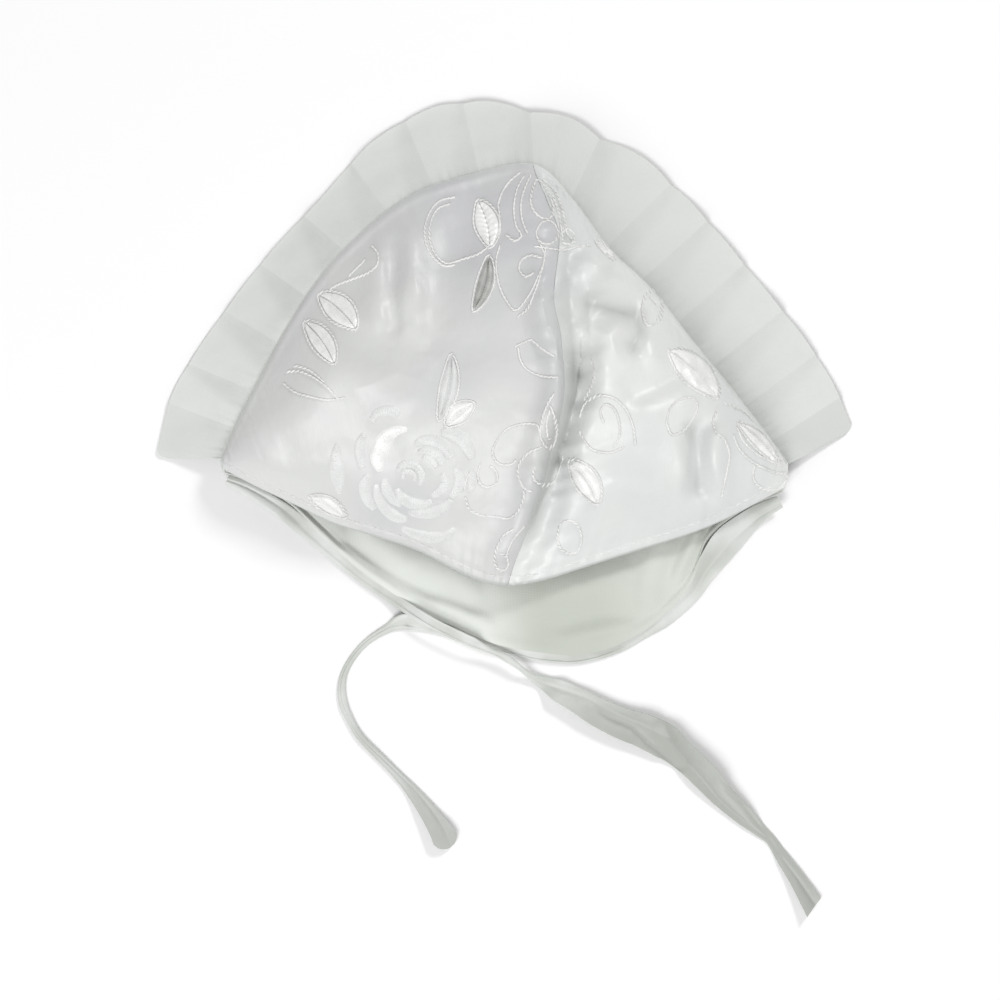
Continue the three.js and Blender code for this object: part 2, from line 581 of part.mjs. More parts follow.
// The origin is under the middle of the bonnet without its ties.
const box = new THREE.Box3();
for (const piece of pieces) {
  piece.geometry.computeBoundingBox();
  if (!piece.cord) box.union(piece.geometry.boundingBox);
}
const middle = box.getCenter(new THREE.Vector3());

const bonnet = new THREE.Group();
bonnet.name = "baby_bonnet";
for (const piece of pieces) {
  piece.geometry.translate(-middle.x, -middle.y, -box.min.z);
  piece.geometry.computeVertexNormals();
  const mesh = new THREE.Mesh(piece.geometry, new THREE.MeshStandardMaterial(piece.finish));
  mesh.name = piece.name;
  bonnet.add(mesh);
}

export default bonnet;
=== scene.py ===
"""Baby bonnet laid flat: its visible cloth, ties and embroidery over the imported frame.

Each part is drawn from the bonnet's own sizes, in millimetres from the middle of the ear
line, which joins the two corners of the mouth, and is set in the frame in metres, +Z up.
"""

import logging
import math
from collections.abc import Callable, Sequence
from dataclasses import dataclass, field, replace
from enum import Enum, IntEnum

import bpy
import numpy as np
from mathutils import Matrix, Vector
from mathutils.bvhtree import BVHTree


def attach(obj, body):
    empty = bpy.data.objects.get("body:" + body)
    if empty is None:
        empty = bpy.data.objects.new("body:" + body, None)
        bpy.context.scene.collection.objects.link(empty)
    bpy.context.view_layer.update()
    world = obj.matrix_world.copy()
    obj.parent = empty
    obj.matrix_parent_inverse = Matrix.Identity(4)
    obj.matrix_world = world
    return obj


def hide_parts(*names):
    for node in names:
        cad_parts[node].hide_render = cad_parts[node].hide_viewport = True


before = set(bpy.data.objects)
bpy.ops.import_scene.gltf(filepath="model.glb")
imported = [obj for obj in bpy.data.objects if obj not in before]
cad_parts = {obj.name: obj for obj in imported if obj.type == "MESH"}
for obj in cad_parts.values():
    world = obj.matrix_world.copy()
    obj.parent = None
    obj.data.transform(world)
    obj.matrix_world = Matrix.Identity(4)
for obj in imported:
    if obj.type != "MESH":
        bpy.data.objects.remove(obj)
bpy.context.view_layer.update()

log = logging.getLogger("bonnet")

MM = 0.001
SHIFT = np.array((0.22636, -35.77432, 0.0))  # from the middle of the ear line to the origin
Place = Callable[[np.ndarray, np.ndarray], np.ndarray]


class Rib(IntEnum):
    """Columns of the table of ribs."""

    HEM_X = 0
    HEM_Y = 1
    LOW_X = 2
    LOW_Y = 3
    ARC_X = 4
    ARC_Y = 5
    OUT_X = 6
    OUT_Y = 7
    LIFT = 8
    OPEN = 9


# Ribs from the left corner to the right one: the satin's hem, the under layer's lower edge,
# the arc seam and the brim's outer edge, as shares of the sizes in BonnetForm.
RIBS = np.array((
    (-0.492, -0.1, -0.491, -0.04, -0.497, 0.068, -0.745, 0.02, 0.5, 0.03),
    (-0.432, 0.07, -0.44, 0.01, -0.471, 0.178, -0.745, 0.305, 0.62, 0.3),
    (-0.369, 0.23, -0.38, 0.123, -0.436, 0.302, -0.72, 0.316, 0.8, 0.5),
    (-0.299, 0.41, -0.32, 0.3, -0.389, 0.458, -0.587, 0.384, 0.95, 0.62),
    (-0.229, 0.53, -0.255, 0.485, -0.331, 0.624, -0.5, 0.38, 1, 0.74),
    (-0.152, 0.67, -0.154, 0.695, -0.261, 0.767, -0.43, 0.43, 1, 0.84),
    (-0.084, 0.86, -0.0825, 0.8, -0.17, 0.897, -0.373, 0.655, 1, 0.95),
    (-0.037, 0.965, -0.014, 0.888, -0.068, 0.964, -0.215, 0.824, 1, 1),
    (0.005, 1, 0.061, 0.93, 0.049, 1, -0.03, 0.61, 1, 1),
    (0.07, 0.945, 0.1315, 0.945, 0.117, 0.891, 0.316, 0.7, 0.96, 0.96),
    (0.149, 0.81, 0.2015, 0.885, 0.18, 0.738, 0.72, 0.72, 0.88, 0.9),
    (0.236, 0.66, 0.2715, 0.75, 0.254, 0.611, 0.734, 0.666, 0.76, 0.82),
    (0.324, 0.51, 0.3275, 0.554, 0.324, 0.452, 0.756, 0.666, 0.66, 0.7),
    (0.39, 0.36, 0.355, 0.323, 0.39, 0.305, 0.8, 0.61, 0.58, 0.5),
    (0.45, 0.19, 0.415, 0.168, 0.45, 0.165, 0.79, 0.553, 0.53, 0.3),
    (0.491, 0.07, 0.485, 0.065, 0.496, 0.051, 0.745, 0.384, 0.5, 0.03),
))
SEAM_RIB = 8
FOLD_SWAY = 1.6  # millimetres that the folds wander to either side of their lines
SWAY_PITCH = 47.0  # length of one such wave
FOLD_JOIN = 5  # the higher, the less two folds add up where they meet

# Bow of the centre seam: share of the way from the hem to the arc, and share of ear_width
SEAM_LINE = np.array((
    (0, 0),
    (0.2, 0.044),
    (0.33, 0.062),
    (0.45, 0.077),
    (0.59, 0.065),
    (0.68, 0.049),
    (0.83, 0.052),
    (0.92, 0.025),
    (1, 0),
))

# Folds of the satin and of the lining: from x, y, to x, y, width and height, as shares
CROWN_FOLDS = np.array((
    (0.035, 0.98, 0.07, 0.57, 0.03, 0.35),
    (0.07, 0.57, 0.086, 0.25, 0.026, 0.6),
    (0.086, 0.25, 0.065, 0.06, 0.026, 0.6),
    (0.065, 0.06, -0.005, -0.3, 0.028, 0.5),
    (0.1, 0.78, 0.114, 0.62, 0.026, -0.4),
    (0.114, 0.62, 0.135, 0.41, 0.028, -0.75),
    (0.135, 0.41, 0.122, 0.25, 0.028, -0.95),
    (0.122, 0.25, 0.096, 0.06, 0.028, -1),
    (0.096, 0.06, 0.03, -0.26, 0.026, -0.8),
    (0.2, 0.7, 0.135, 0.66, 0.022, 0.4),
    (0.21, 0.63, 0.15, 0.59, 0.018, -0.35),
    (0.2, 0.52, 0.155, 0.48, 0.022, -0.4),
    (0.21, 0.45, 0.165, 0.36, 0.034, 0.6),
    (0.242, 0.53, 0.214, 0.42, 0.02, -0.4),
    (0.265, 0.56, 0.25, 0.4, 0.024, 0.4),
    (0.29, 0.35, 0.22, 0.27, 0.024, -0.35),
    (0.34, 0.16, 0.33, -0.02, 0.022, -0.5),
    (0.376, 0.13, 0.372, -0.06, 0.02, 0.35),
    (0.17, 0.1, 0.29, 0.05, 0.035, -0.2),
    (0.17, -0.03, 0.29, 0.01, 0.045, 0.25),
    (-0.235, 0.78, -0.21, 0.52, 0.026, 0.32),
    (-0.2, 0.75, -0.185, 0.5, 0.022, -0.28),
    (-0.175, 0.8, -0.15, 0.5, 0.028, 0.3),
    (-0.06, 0.9, -0.12, 0.46, 0.05, -0.45),
    (-0.3, 0.33, -0.17, 0.27, 0.045, 0.3),
    (-0.36, 0.1, -0.2, 0.12, 0.035, -0.22),
))
LINING_FOLDS = np.array((
    (-0.28, -0.44, -0.04, -0.83, 0.022, 0.5),
    (-0.3, -0.27, -0.13, -0.62, 0.02, -0.2),
    (-0.25, -0.28, -0.05, -0.58, 0.035, 0.5),
    (0.05, -0.92, 0.21, -0.86, 0.026, 0.65),
    (0.0, -0.56, 0.2, -0.56, 0.05, 0.5),
    (0.27, -0.32, 0.25, -0.62, 0.03, 0.5),
    (0.33, -0.28, 0.31, -0.5, 0.016, 0.35),
))

# Pleats of the brim: place along the arc, run, height and swell of the edge, as shares
PLEATS = np.array((
    (0.06, 0.065, 0.4, 0),
    (0.125, 0.065, 0.6, 0.01),
    (0.19, 0.06, 0.85, 0.01),
    (0.25, 0.065, 0.65, 0.01),
    (0.315, 0.06, 0.9, 0.01),
    (0.375, 0.055, 1, 0.02),
    (0.43, 0.05, 0.6, 0.02),
    (0.48, 0.053, 0.75, 0.07),
    (0.533, 0.05, 0.9, 0.12),
    (0.6, 0.065, 1, 0.08),
    (0.665, 0.065, 0.6, 0.01),
    (0.72, 0.055, 0.8, 0.01),
    (0.78, 0.06, 0.7, 0.01),
    (0.84, 0.06, 0.8, 0.01),
    (0.9, 0.06, 0.6, 0),
    (0.955, 0.055, 0.4, 0),
))

# Routes of the ties: x, y, z of the ribbon's middle and the share of its width that shows
TIE_LEFT = np.array((
    (-97.5, 0.1, 5.2, 0.28),
    (-89.8, -3.4, 3.6, 0.38),
    (-78.3, -10.9, 2.1, 0.42),
    (-66.1, -21.7, 1.8, 0.33),
    (-52.4, -33.3, 1.8, 0.23),
    (-42.4, -40.4, 2, 0.22),
    (-36.2, -44.6, 3.3, 0.22),
    (-30.5, -48.2, 5.4, 0.22),
    (-24, -51.8, 5.9, 0.21),
    (-14, -56.6, 5.9, 0.2),
    (-8.8, -58.6, 5.8, 0.18),
    (-3.5, -60.5, 5.6, 0.18),
    (1, -62.8, 5.2, 0.24),
    (5.2, -65.8, 4.8, 0.18),
    (9.1, -68.9, 3, 0.23),
    (14, -71.4, 1.9, 0.41),
    (18.5, -73.7, 1.5, 0.63),
    (22.8, -75.9, 1.35, 0.68),
    (27.1, -78.2, 1.3, 0.75),
    (33.2, -81.8, 1.2, 0.83),
    (41.8, -85.7, 1.15, 0.91),
    (48.6, -88, 1.1, 0.98),
    (56, -91.7, 1.1, 1),
    (60.7, -95.4, 1.2, 0.83),
    (66.1, -100.1, 1.2, 0.78),
    (71.8, -105.8, 1.2, 0.77),
    (76.4, -111.1, 1.25, 0.66),
    (83.6, -117.7, 1.4, 0.56),
    (89.8, -123.2, 1.6, 0.39),
    (93.6, -126.7, 1.8, 0.31),
    (97.6, -132.8, 1.6, 0.38),
    (103, -140.8, 1.4, 0.49),
    (108.5, -150.1, 1.3, 0.61),
))
TIE_RIGHT = np.array((
    (96.6, -7.7, 4.9, 0.35),
    (88.2, -12.2, 3.2, 0.55),
    (80.1, -19.6, 2, 0.78),
    (74.9, -26.6, 1.8, 0.67),
    (70.9, -32.5, 1.8, 0.53),
    (66.7, -39.9, 1.8, 0.38),
    (61.9, -45.1, 1.8, 0.33),
    (57, -49.5, 1.9, 0.27),
    (53.2, -52.1, 1.9, 0.21),
    (49.5, -54.2, 1.9, 0.19),
    (39.9, -59.5, 1.9, 0.19),
    (26.2, -63.3, 1.9, 0.19),
    (12.2, -62.5, 1.9, 0.19),
    (5.2, -60.8, 1.9, 0.18),
    (-1.8, -59.2, 1.9, 0.18),
    (-10.5, -56.6, 1.9, 0.18),
    (-17.2, -54.3, 1.9, 0.18),
    (-25.2, -52.1, 1.9, 0.22),
    (-33.4, -50.6, 1.8, 0.33),
    (-38.1, -50.8, 1.8, 0.33),
    (-42.3, -52.7, 1.8, 0.25),
    (-48.1, -56.5, 1.9, 0.2),
    (-52.9, -61.6, 1.9, 0.2),
    (-56.3, -67.5, 1.9, 0.21),
    (-57.4, -73.1, 1.9, 0.24),
    (-56.7, -78.8, 1.9, 0.26),
    (-54.4, -84.3, 1.9, 0.23),
    (-50.8, -90.3, 1.9, 0.23),
    (-44.4, -96.9, 1.8, 0.25),
    (-37.8, -103.6, 1.8, 0.27),
    (-32.2, -109.8, 1.7, 0.38),
    (-26.9, -116.7, 1.5, 0.52),
    (-22.8, -122.8, 1.4, 0.62),
    (-19.6, -129.2, 1.3, 0.72),
))


def fade(value: np.ndarray | float) -> np.ndarray:
    """Smooth step from 0 at 0 to 1 at 1."""
    share = np.clip(value, 0, 1)
    return share * share * (3 - 2 * share)


def mix(start: np.ndarray, end: np.ndarray, share: np.ndarray) -> np.ndarray:
    """The value a share of the way from start to end."""
    return start + (end - start) * share


def read_even(column: np.ndarray, share: np.ndarray) -> np.ndarray:
    """Reads a column of evenly spaced rows smoothly.

    Args:
        column: The values of the rows.
        share: Where to read, as shares of the table's length.

    Returns:
        The value at each share.
    """
    last = len(column) - 1
    place = np.clip(share, 0, 1) * last
    index = np.minimum(last - 1, np.floor(place)).astype(int)
    step = place - index
    before, start = column[np.maximum(index - 1, 0)], column[index]
    end, after = column[index + 1], column[np.minimum(index + 2, last)]
    bend = 2 * before - 5 * start + 4 * end - after
    twist = 3 * (start - end) + after - before
    return start + 0.5 * step * (end - before + step * (bend + step * twist))


def read_at(table: np.ndarray, share: np.ndarray) -> np.ndarray:
    """Reads the second column of a table smoothly, where the first says the place.

    Args:
        table: Rows of place and value.
        share: Where to read.

    Returns:
        The value at each share.
    """
    marks = table[:, 0]
    row = np.clip(np.searchsorted(marks, share, side="right") - 1, 0, len(marks) - 2)
    within = np.clip((share - marks[row]) / (marks[row + 1] - marks[row]), 0, 1)
    return read_even(table[:, 1], (row + within) / (len(marks) - 1))


def ripple(along: np.ndarray, pitch: float, seed: float) -> np.ndarray:
    """An uneven wave, as gathers make in cloth.

    Args:
        along: Distance along the gathers.
        pitch: Mean distance between two gathers.
        seed: Number that sets this wave apart from others.

    Returns:
        Heights from -1 to 1.
    """
    turn = 2 * math.pi * along / pitch
    slow = np.sin(turn * 0.37 + 1.7 * seed)
    fast = np.sin(turn * 0.23 + seed)
    wave = 0.6 * np.sin(turn + seed + 0.9 * slow)
    return wave + 0.4 * np.sin(turn * 1.61 + 2.3 * seed + 0.7 * fast)


def soft_noise(x: np.ndarray, y: np.ndarray, pitch: float, seed: float) -> np.ndarray:
    """A soft uneven surface of crossing waves.

    Args:
        x: Places across.
        y: Places up.
        pitch: Usual distance between two rises.
        seed: Number that sets this surface apart from others.

    Returns:
        Heights from about -1 to 1.
    """
    total = np.zeros_like(x)
    for k in range(5):
        angle = seed + 1.9 * k
        way = x * math.cos(angle) + y * math.sin(angle)
        total += np.sin(2 * math.pi * way / (pitch * (0.75 + 0.17 * k)) + seed * (k + 1))
    return total * 0.3


def fold_height(folds: np.ndarray, x: np.ndarray, y: np.ndarray, size: tuple[float, float]) -> np.ndarray:
    """Soft folds that wander along straight lines and join without adding up.

    Args:
        folds: Rows of from x, y, to x, y, width and height.
        x: Places across.
        y: Places up.
        size: What the x and y columns are shares of.

    Returns:
        The height of the folds at each place, in shares.
    """
    sway = lambda place: FOLD_SWAY * np.sin(2 * math.pi * place / SWAY_PITCH)
    x, y = x + sway(y), y + sway(x)
    ridge, valley = np.zeros_like(x), np.zeros_like(x)
    for from_x, from_y, to_x, to_y, wide, high in folds:
        start = np.array((from_x * size[0], from_y * size[1]))
        along = np.array((to_x * size[0], to_y * size[1])) - start
        dx, dy = x - start[0], y - start[1]
        share = np.clip((dx * along[0] + dy * along[1]) / (along @ along), 0, 1)
        away = np.hypot(dx - along[0] * share, dy - along[1] * share) / (wide * size[0])
        height = high * np.exp(-away * away)
        ridge += np.maximum(0, height) ** FOLD_JOIN
        valley += np.maximum(0, -height) ** FOLD_JOIN
    return ridge ** (1 / FOLD_JOIN) - valley ** (1 / FOLD_JOIN)


# Sharp creases of the satin: points in millimetres from the middle of the ear line, height,
# and how far each falls away to the left and to the right of its direction
CREASES: tuple[tuple[tuple[tuple[float, float], ...], float, float, float], ...] = (
    (((16.1, 77.7), (14.0, 70.7), (11.9, 64.1), (13.7, 56.0), (16.1, 48.3)), 1.5, 1.4, 3.0),  # outer ridge
    (((21.0, 75.3), (17.2, 64.8), (14.4, 62.3), (17.2, 58.8), (17.9, 42.4), (18.9, 36.4)), 2.6, 1.6, 3.0),  # ridge
    (((18.9, 36.4), (17.9, 24.5), (15.1, 10.5), (10.9, -5.3), (4.6, -24.5)), 1.5, 1.5, 4.0),  # ridge to the point
    (((27.0, 52.0), (26.0, 40.0), (24.5, 29.8), (22.0, 17.5), (17.9, 5.3), (12.3, -8.8), (6.0, -24.5)), -4.2, 3.4, 2.0),  # valley
    (((28.4, 70.0), (29.4, 55.3), (29.1, 44.1), (30.8, 39.9), (30.1, 31.0)), 1.7, 5.0, 1.8),  # edge past the valley
    (((29.1, 56.0), (36.8, 57.8), (42.7, 60.6)), 1.5, 2.2, 5.0),
    (((42.7, 60.0), (46.2, 51.8), (42.7, 41.7)), -1.3, 1.8, 2.4),
    (((50.8, 51.8), (46.2, 41.7), (37.8, 36.4)), 1.2, 2.0, 4.5),
    (((28.4, 72.5), (33.3, 74.2), (38.5, 75.3)), 1.1, 1.6, 3.5),
    (((33.3, 83.0), (37.0, 77.0), (41.0, 74.0), (47.3, 63.0), (52.5, 52.5)), 0.9, 1.6, 2.4),
    (((60.0, 22.0), (63.5, 12.0), (62.5, -2.0)), 1.1, 1.8, 4.0),
    (((33.0, 3.0), (43.0, -4.0), (58.0, -6.0)), 0.7, 5.0, 3.0),
    (((-44.5, 86.8), (-42.4, 71.8), (-38.6, 56.7)), 0.9, 2.2, 4.0),
    (((-33.3, 89.3), (-32.6, 73.5), (-27.8, 57.8)), 0.9, 2.2, 4.0),
    (((-57.8, 27.8), (-36.8, 36.8), (-20.8, 31.8)), 0.8, 6.0, 4.0),
)


# Painted shade where the satin is folded in, beside the centre seam and on the right panel: the same form, as a share
# of the darker tone
PAINTED_FOLD_SHADE = (
    (((12.5, 108), (18.5, 95), (20.5, 84), (21.8, 74), (22, 58), (23.6, 42), (23.8, 30)), 0.42, 2.4, 2.6),
    (((23.6, 50), (23.6, 42), (23.8, 30), (21, 17.5), (16.8, 5.3), (11.6, -8.8), (6, -25.5)), 1.0, 2.8, 3.2),
    (((25, 61), (34, 59.5), (46, 56)), 0.8, 3.2, 3.2),
    (((44, 62), (46.5, 52), (43, 41)), 0.5, 2.4, 2.6),
    (((63, 22), (66, 11), (66.5, -7)), 0.5, 4.2, 3.4),
)

# Sharp creases of the left tie's open length, in the same form
TIE_CREASES: tuple[tuple[tuple[tuple[float, float], ...], float, float, float], ...] = (
    (((30.0, -79.0), (36.1, -83.0), (44.8, -86.8), (51.1, -92.8), (59.2, -98.4), (66.0, -106.0)), -1.7, 3.5, 1.6),
    (((54.3, -82.0), (58.5, -91.7), (60.2, -97.0), (64.0, -102.0)), -1.5, 1.4, 4.0),
    (((74.0, -105.0), (84.0, -114.5), (92.0, -124.6), (98.0, -134.0)), -1.2, 2.4, 1.6),
)


def crease_height(x: np.ndarray, y: np.ndarray, creases: Sequence) -> np.ndarray:
    """Sharp creases along broken lines.

    Args:
        x: Places across.
        y: Places up.
        creases: The table of the creases.

    Returns:
        Their height in millimetres.
    """
    total = np.zeros_like(x)
    for line, high, left, right in creases:
        near, turn, run, start = np.full_like(x, 1e9), np.zeros_like(x), np.zeros_like(x), 0.0
        for (x0, y0), (x1, y1) in zip(line, line[1:]):
            dx, dy, ax, ay = x - x0, y - y0, x1 - x0, y1 - y0
            length = math.hypot(ax, ay)
            share = np.clip((dx * ax + dy * ay) / length**2, 0, 1)
            away = np.hypot(dx - ax * share, dy - ay * share)
            closer = away < near
            near = np.where(closer, away, near)
            turn = np.where(closer, ax * dy - ay * dx, turn)
            run = np.where(closer, start + share * length, run)
            start += length
        fall = np.exp(-near / np.where(turn > 0, left, right))
        total += high * fall * fade(np.minimum(run, start - run) / max(5, 0.2 * start))
    return total


@dataclass(frozen=True)
class BonnetForm:
    """The bonnet's sizes in millimetres and the surfaces that they give."""

    ear_width: float = 200.0
    arc_rise: float = 110.0
    hem_dip: float = 37.0
    lower_dip: float = 65.0
    seam_height: float = 15.0
    mouth_gap: float = 9.0
    crown_rise: float = 27.0
    fold_rise: float = 8.0
    lining_fold: float = 6.0
    rest_share: float = 0.35
    edge_roll: float = 1.2
    satin_wall: float = 1.2
    lining_wall: float = 1.0
    sewn_gap: float = 0.3
    brim_width: float = 31.0
    pleat_rise: float = 1.3
    pleat_step: float = 1.8
    brim_corner: float = 4.0
    brim_edge: float = 0.55
    seam_at: float = SEAM_RIB / (len(RIBS) - 1)

    def rib(self, column: Rib, u: np.ndarray) -> np.ndarray:
        """One column of the ribs at shares of the way round."""
        return read_even(RIBS[:, column], u)

    def arc(self, u: np.ndarray) -> np.ndarray:
        """Plan of the arc seam."""
        return np.stack((self.rib(Rib.ARC_X, u) * self.ear_width, self.rib(Rib.ARC_Y, u) * self.arc_rise), -1)

    def hem(self, u: np.ndarray) -> np.ndarray:
        """Plan of the satin's hem."""
        return np.stack((self.rib(Rib.HEM_X, u) * self.ear_width, -self.rib(Rib.HEM_Y, u) * self.hem_dip), -1)

    def low(self, u: np.ndarray) -> np.ndarray:
        """Plan of the under layer's lower edge."""
        return np.stack((self.rib(Rib.LOW_X, u) * self.ear_width, -self.rib(Rib.LOW_Y, u) * self.lower_dip), -1)

    def seam_lift(self, u: np.ndarray) -> np.ndarray:
        """Height of the arc seam."""
        return self.rib(Rib.LIFT, u) * self.seam_height

    def lining_drop(self) -> float:
        """How far the lining's middle lies under the satin's where they are sewn."""
        return self.satin_wall / 2 + self.sewn_gap + self.lining_wall / 2

    def under_drop(self) -> float:
        """How far the under layer's middle lies under the satin's where they are sewn."""
        return self.lining_drop() + self.lining_wall / 2 + self.sewn_gap + self.satin_wall / 2

    @staticmethod
    def towards_corner(u: np.ndarray) -> np.ndarray:
        """0 at the middle of the ear line and 1 at either corner."""
        return np.abs(2 * u - 1)

    def under(self, u: np.ndarray, v: np.ndarray) -> np.ndarray:
        """Middle of the under layer, which lies flat and rises to the arc like a bowl.

        Args:
            u: Shares of the way from the left corner to the right one.
            v: Shares of the way from the lower edge to the arc seam.

        Returns:
            The points.
        """
        plan = mix(self.low(u), self.arc(u), v[:, None])
        rise = lambda share: np.clip((share - self.rest_share) / (1 - self.rest_share), 0, 1)
        bowl = 1 - (1 - rise(v) ** 3.2) * (1 - rise(self.towards_corner(u)) ** 6)
        rest = self.satin_wall / 2 + self.edge_roll * fade(1 - v / 0.08)
        return np.column_stack((plan, mix(rest, self.seam_lift(u) - self.under_drop(), bowl)))

    def lining(self, u: np.ndarray, v: np.ndarray) -> np.ndarray:
        """Middle of the lining, which lies on the under layer and folds up from it.

        Args:
            u: Shares of the way from the left corner to the right one.
            v: Shares of the way from the lower edge to the arc seam.

        Returns:
            The points.
        """
        points = self.under(u, v)
        loose = fade(v / 0.07) * fade((1 - v) / 0.3) * fade((1 - self.towards_corner(u)) / 0.3)
        fold = fold_height(LINING_FOLDS, points[:, 0], points[:, 1], (self.ear_width, self.lower_dip))
        points[:, 2] += self.under_drop() - self.lining_drop() + np.maximum(0, fold) * self.lining_fold * loose
        return points

    def crown(self, u: np.ndarray, v: np.ndarray) -> np.ndarray:
        """Middle of the satin crown, from the hem over the dome to the arc seam.

        Args:
            u: Shares of the way from the left corner to the right one.
            v: Shares of the way from the hem to the arc seam.

        Returns:
            The points.
        """
        plan = mix(self.hem(u), self.arc(u), v[:, None])
        near_seam = np.where(u < self.seam_at, u / self.seam_at, (1 - u) / (1 - self.seam_at))
        plan[:, 0] += read_at(SEAM_LINE, v) * self.ear_width * near_seam**2
        lower = self.under(u, np.zeros_like(u))[:, 2]
        hem_z = lower + self.under_drop() + self.rib(Rib.OPEN, u) * self.mouth_gap
        past = np.clip((v - 0.5) / 0.5, 0, 1)
        profile = np.where(v < 0.5, np.sin(math.pi * v), 1 - past**2.2)
        corner = self.towards_corner(u)
        across = np.clip(1 - corner**2.4, 0, 1) ** 0.8
        loose = fade(0.25 + v / 0.12) * fade((1 - v) / 0.12) * fade((1 - corner) / 0.25)
        fold = fold_height(CROWN_FOLDS, plan[:, 0], plan[:, 1], (self.ear_width, self.arc_rise))
        dome = mix(hem_z, self.seam_lift(u), fade(v)) + self.crown_rise * profile * across
        return np.column_stack((plan, dome + fold * self.fold_rise * loose))

    def arc_length(self) -> float:
        """Length of the arc seam on the plan."""
        points = self.arc(np.linspace(0, 1, 61))
        return float(np.linalg.norm(np.diff(points, axis=0), axis=1).sum())

    def pleat_inward(self, u: np.ndarray) -> np.ndarray:
        """Share of the arc from each place to each pleat, towards the centre seam."""
        at = PLEATS[:, 0]
        return np.where(at < self.seam_at, u[:, None] - at, at - u[:, None])

    def pleat_height(self, u: np.ndarray) -> np.ndarray:
        """Height of the pleats at their full spread, as a share of pleat_rise."""
        inward = self.pleat_inward(u)
        step = self.pleat_step / self.arc_length()
        rise = np.where(inward < 0, 1 + inward / step, 1 - inward / PLEATS[:, 1])
        return (PLEATS[:, 2] * np.clip(rise, 0, 1)).max(1)

    def pleat_swell(self, u: np.ndarray) -> np.ndarray:
        """How far the outer edge swells between two pleats, as a share of brim_width."""
        at = PLEATS[:, 0]
        row = np.searchsorted(at, u, side="right") - 1
        inside = (row >= 0) & (row < len(at) - 1)
        row = np.clip(row, 0, len(at) - 2)
        swell = PLEATS[row, 3] * np.sin(math.pi * (u - at[row]) / (at[row + 1] - at[row]))
        return np.where(inside, swell, 0)

    def brim(self, u: np.ndarray, v: np.ndarray) -> np.ndarray:
        """Middle of the brim, from the arc seam out and down to the surface.

        Args:
            u: Shares of the way from the left corner to the right one.
            v: Shares of the way from the arc seam to the outer edge.

        Returns:
            The points.
        """
        out = np.stack((self.rib(Rib.OUT_X, u), self.rib(Rib.OUT_Y, u)), -1)
        length = np.linalg.norm(out, axis=1)
        from_end = np.minimum(u, 1 - u) * self.arc_length()
        corner = np.clip(1 - from_end / self.brim_corner, 0, 1)
        rounded = self.brim_corner * (1 - np.sqrt(1 - corner * corner))
        reach = length * self.brim_width * (1 + self.pleat_swell(u)) - rounded
        away = self.sewn_gap + (reach - self.sewn_gap) * v
        plan = self.arc(u) + out / length[:, None] * away[:, None]
        slope = mix(self.brim_edge, self.seam_lift(u) - self.under_drop() / 2, (1 - v) ** 1.25)
        return np.column_stack((plan, slope + self.pleat_height(u) * self.pleat_rise * v**0.8))


def deselect() -> None:
    """Leaves nothing selected."""
    bpy.ops.object.select_all(action="DESELECT")


def make_active(piece: bpy.types.Object) -> None:
    """Selects one piece alone and makes it the active one."""
    deselect()
    piece.select_set(True)
    bpy.context.view_layer.objects.active = piece


def to_frame(points: np.ndarray) -> np.ndarray:
    """Points in millimetres from the ear line's middle as metres in the frame."""
    return (points + SHIFT) * MM


def grid_piece(name: str, columns: int, rows: int, place: Place, tone: Place | None = None) -> bpy.types.Object:
    """A piece of cloth as a grid whose points are moved to their places.

    Args:
        name: The piece's name.
        columns: Squares along u.
        rows: Squares along v.
        place: Gives the points in the frame for shares u and v.
        tone: Gives the share of the finish's second tone for shares u and v.

    Returns:
        The piece, with a UV map in metres of cloth.
    """
    deselect()
    bpy.ops.mesh.primitive_grid_add(x_subdivisions=columns, y_subdivisions=rows, size=1)
    piece = bpy.context.active_object
    piece.name = piece.data.name = name
    flat = np.empty(len(piece.data.vertices) * 3, dtype=np.float64)
    piece.data.vertices.foreach_get("co", flat)
    u, v = (np.clip(flat.reshape(-1, 3)[:, k] + 0.5, 0, 1) for k in (0, 1))
    piece.data.vertices.foreach_set("co", place(u, v).ravel())
    lines = np.linspace(0, 1, 41)
    middle = np.full_like(lines, 0.5)
    across = np.linalg.norm(np.diff(place(lines, middle), axis=0), axis=1).sum()
    along = np.linalg.norm(np.diff(place(middle, lines), axis=0), axis=1).sum()
    corners = np.empty(len(piece.data.loops), dtype=np.int32)
    piece.data.loops.foreach_get("vertex_index", corners)
    layer = piece.data.uv_layers[0]
    layer.name = "Cloth"
    layer.data.foreach_set("uv", np.column_stack((u[corners] * across, v[corners] * along)).ravel())
    if tone is not None:
        attribute = piece.data.attributes.new("tone", "FLOAT", "POINT")
        attribute.data.foreach_set("value", tone(u, v).astype(np.float32))
    piece.data.update()
    return piece


def thicken(piece: bpy.types.Object, depth: float, offset: float = -1.0) -> None:
    """Gives cloth its depth.

    Args:
        piece: The sheet.
        depth: Its thickness in millimetres.
        offset: -1 puts the depth under the sheet, 0 on both sides.
    """
    make_active(piece)
    bpy.ops.object.modifier_add(type="SOLIDIFY")
    wall = piece.modifiers[-1]
    wall.thickness = depth * MM
    wall.offset = offset
    bpy.ops.object.modifier_apply(modifier=wall.name)
    bpy.ops.object.shade_smooth_by_angle(angle=math.radians(50))


def join(name: str, parts: Sequence[bpy.types.Object]) -> bpy.types.Object:
    """Joins pieces into one.

    Args:
        name: The name of the whole.
        parts: The pieces.

    Returns:
        The joined piece.
    """
    make_active(parts[0])
    for part in parts:
        part.select_set(True)
    bpy.ops.object.join()
    whole = bpy.context.active_object
    whole.name = whole.data.name = name
    return whole


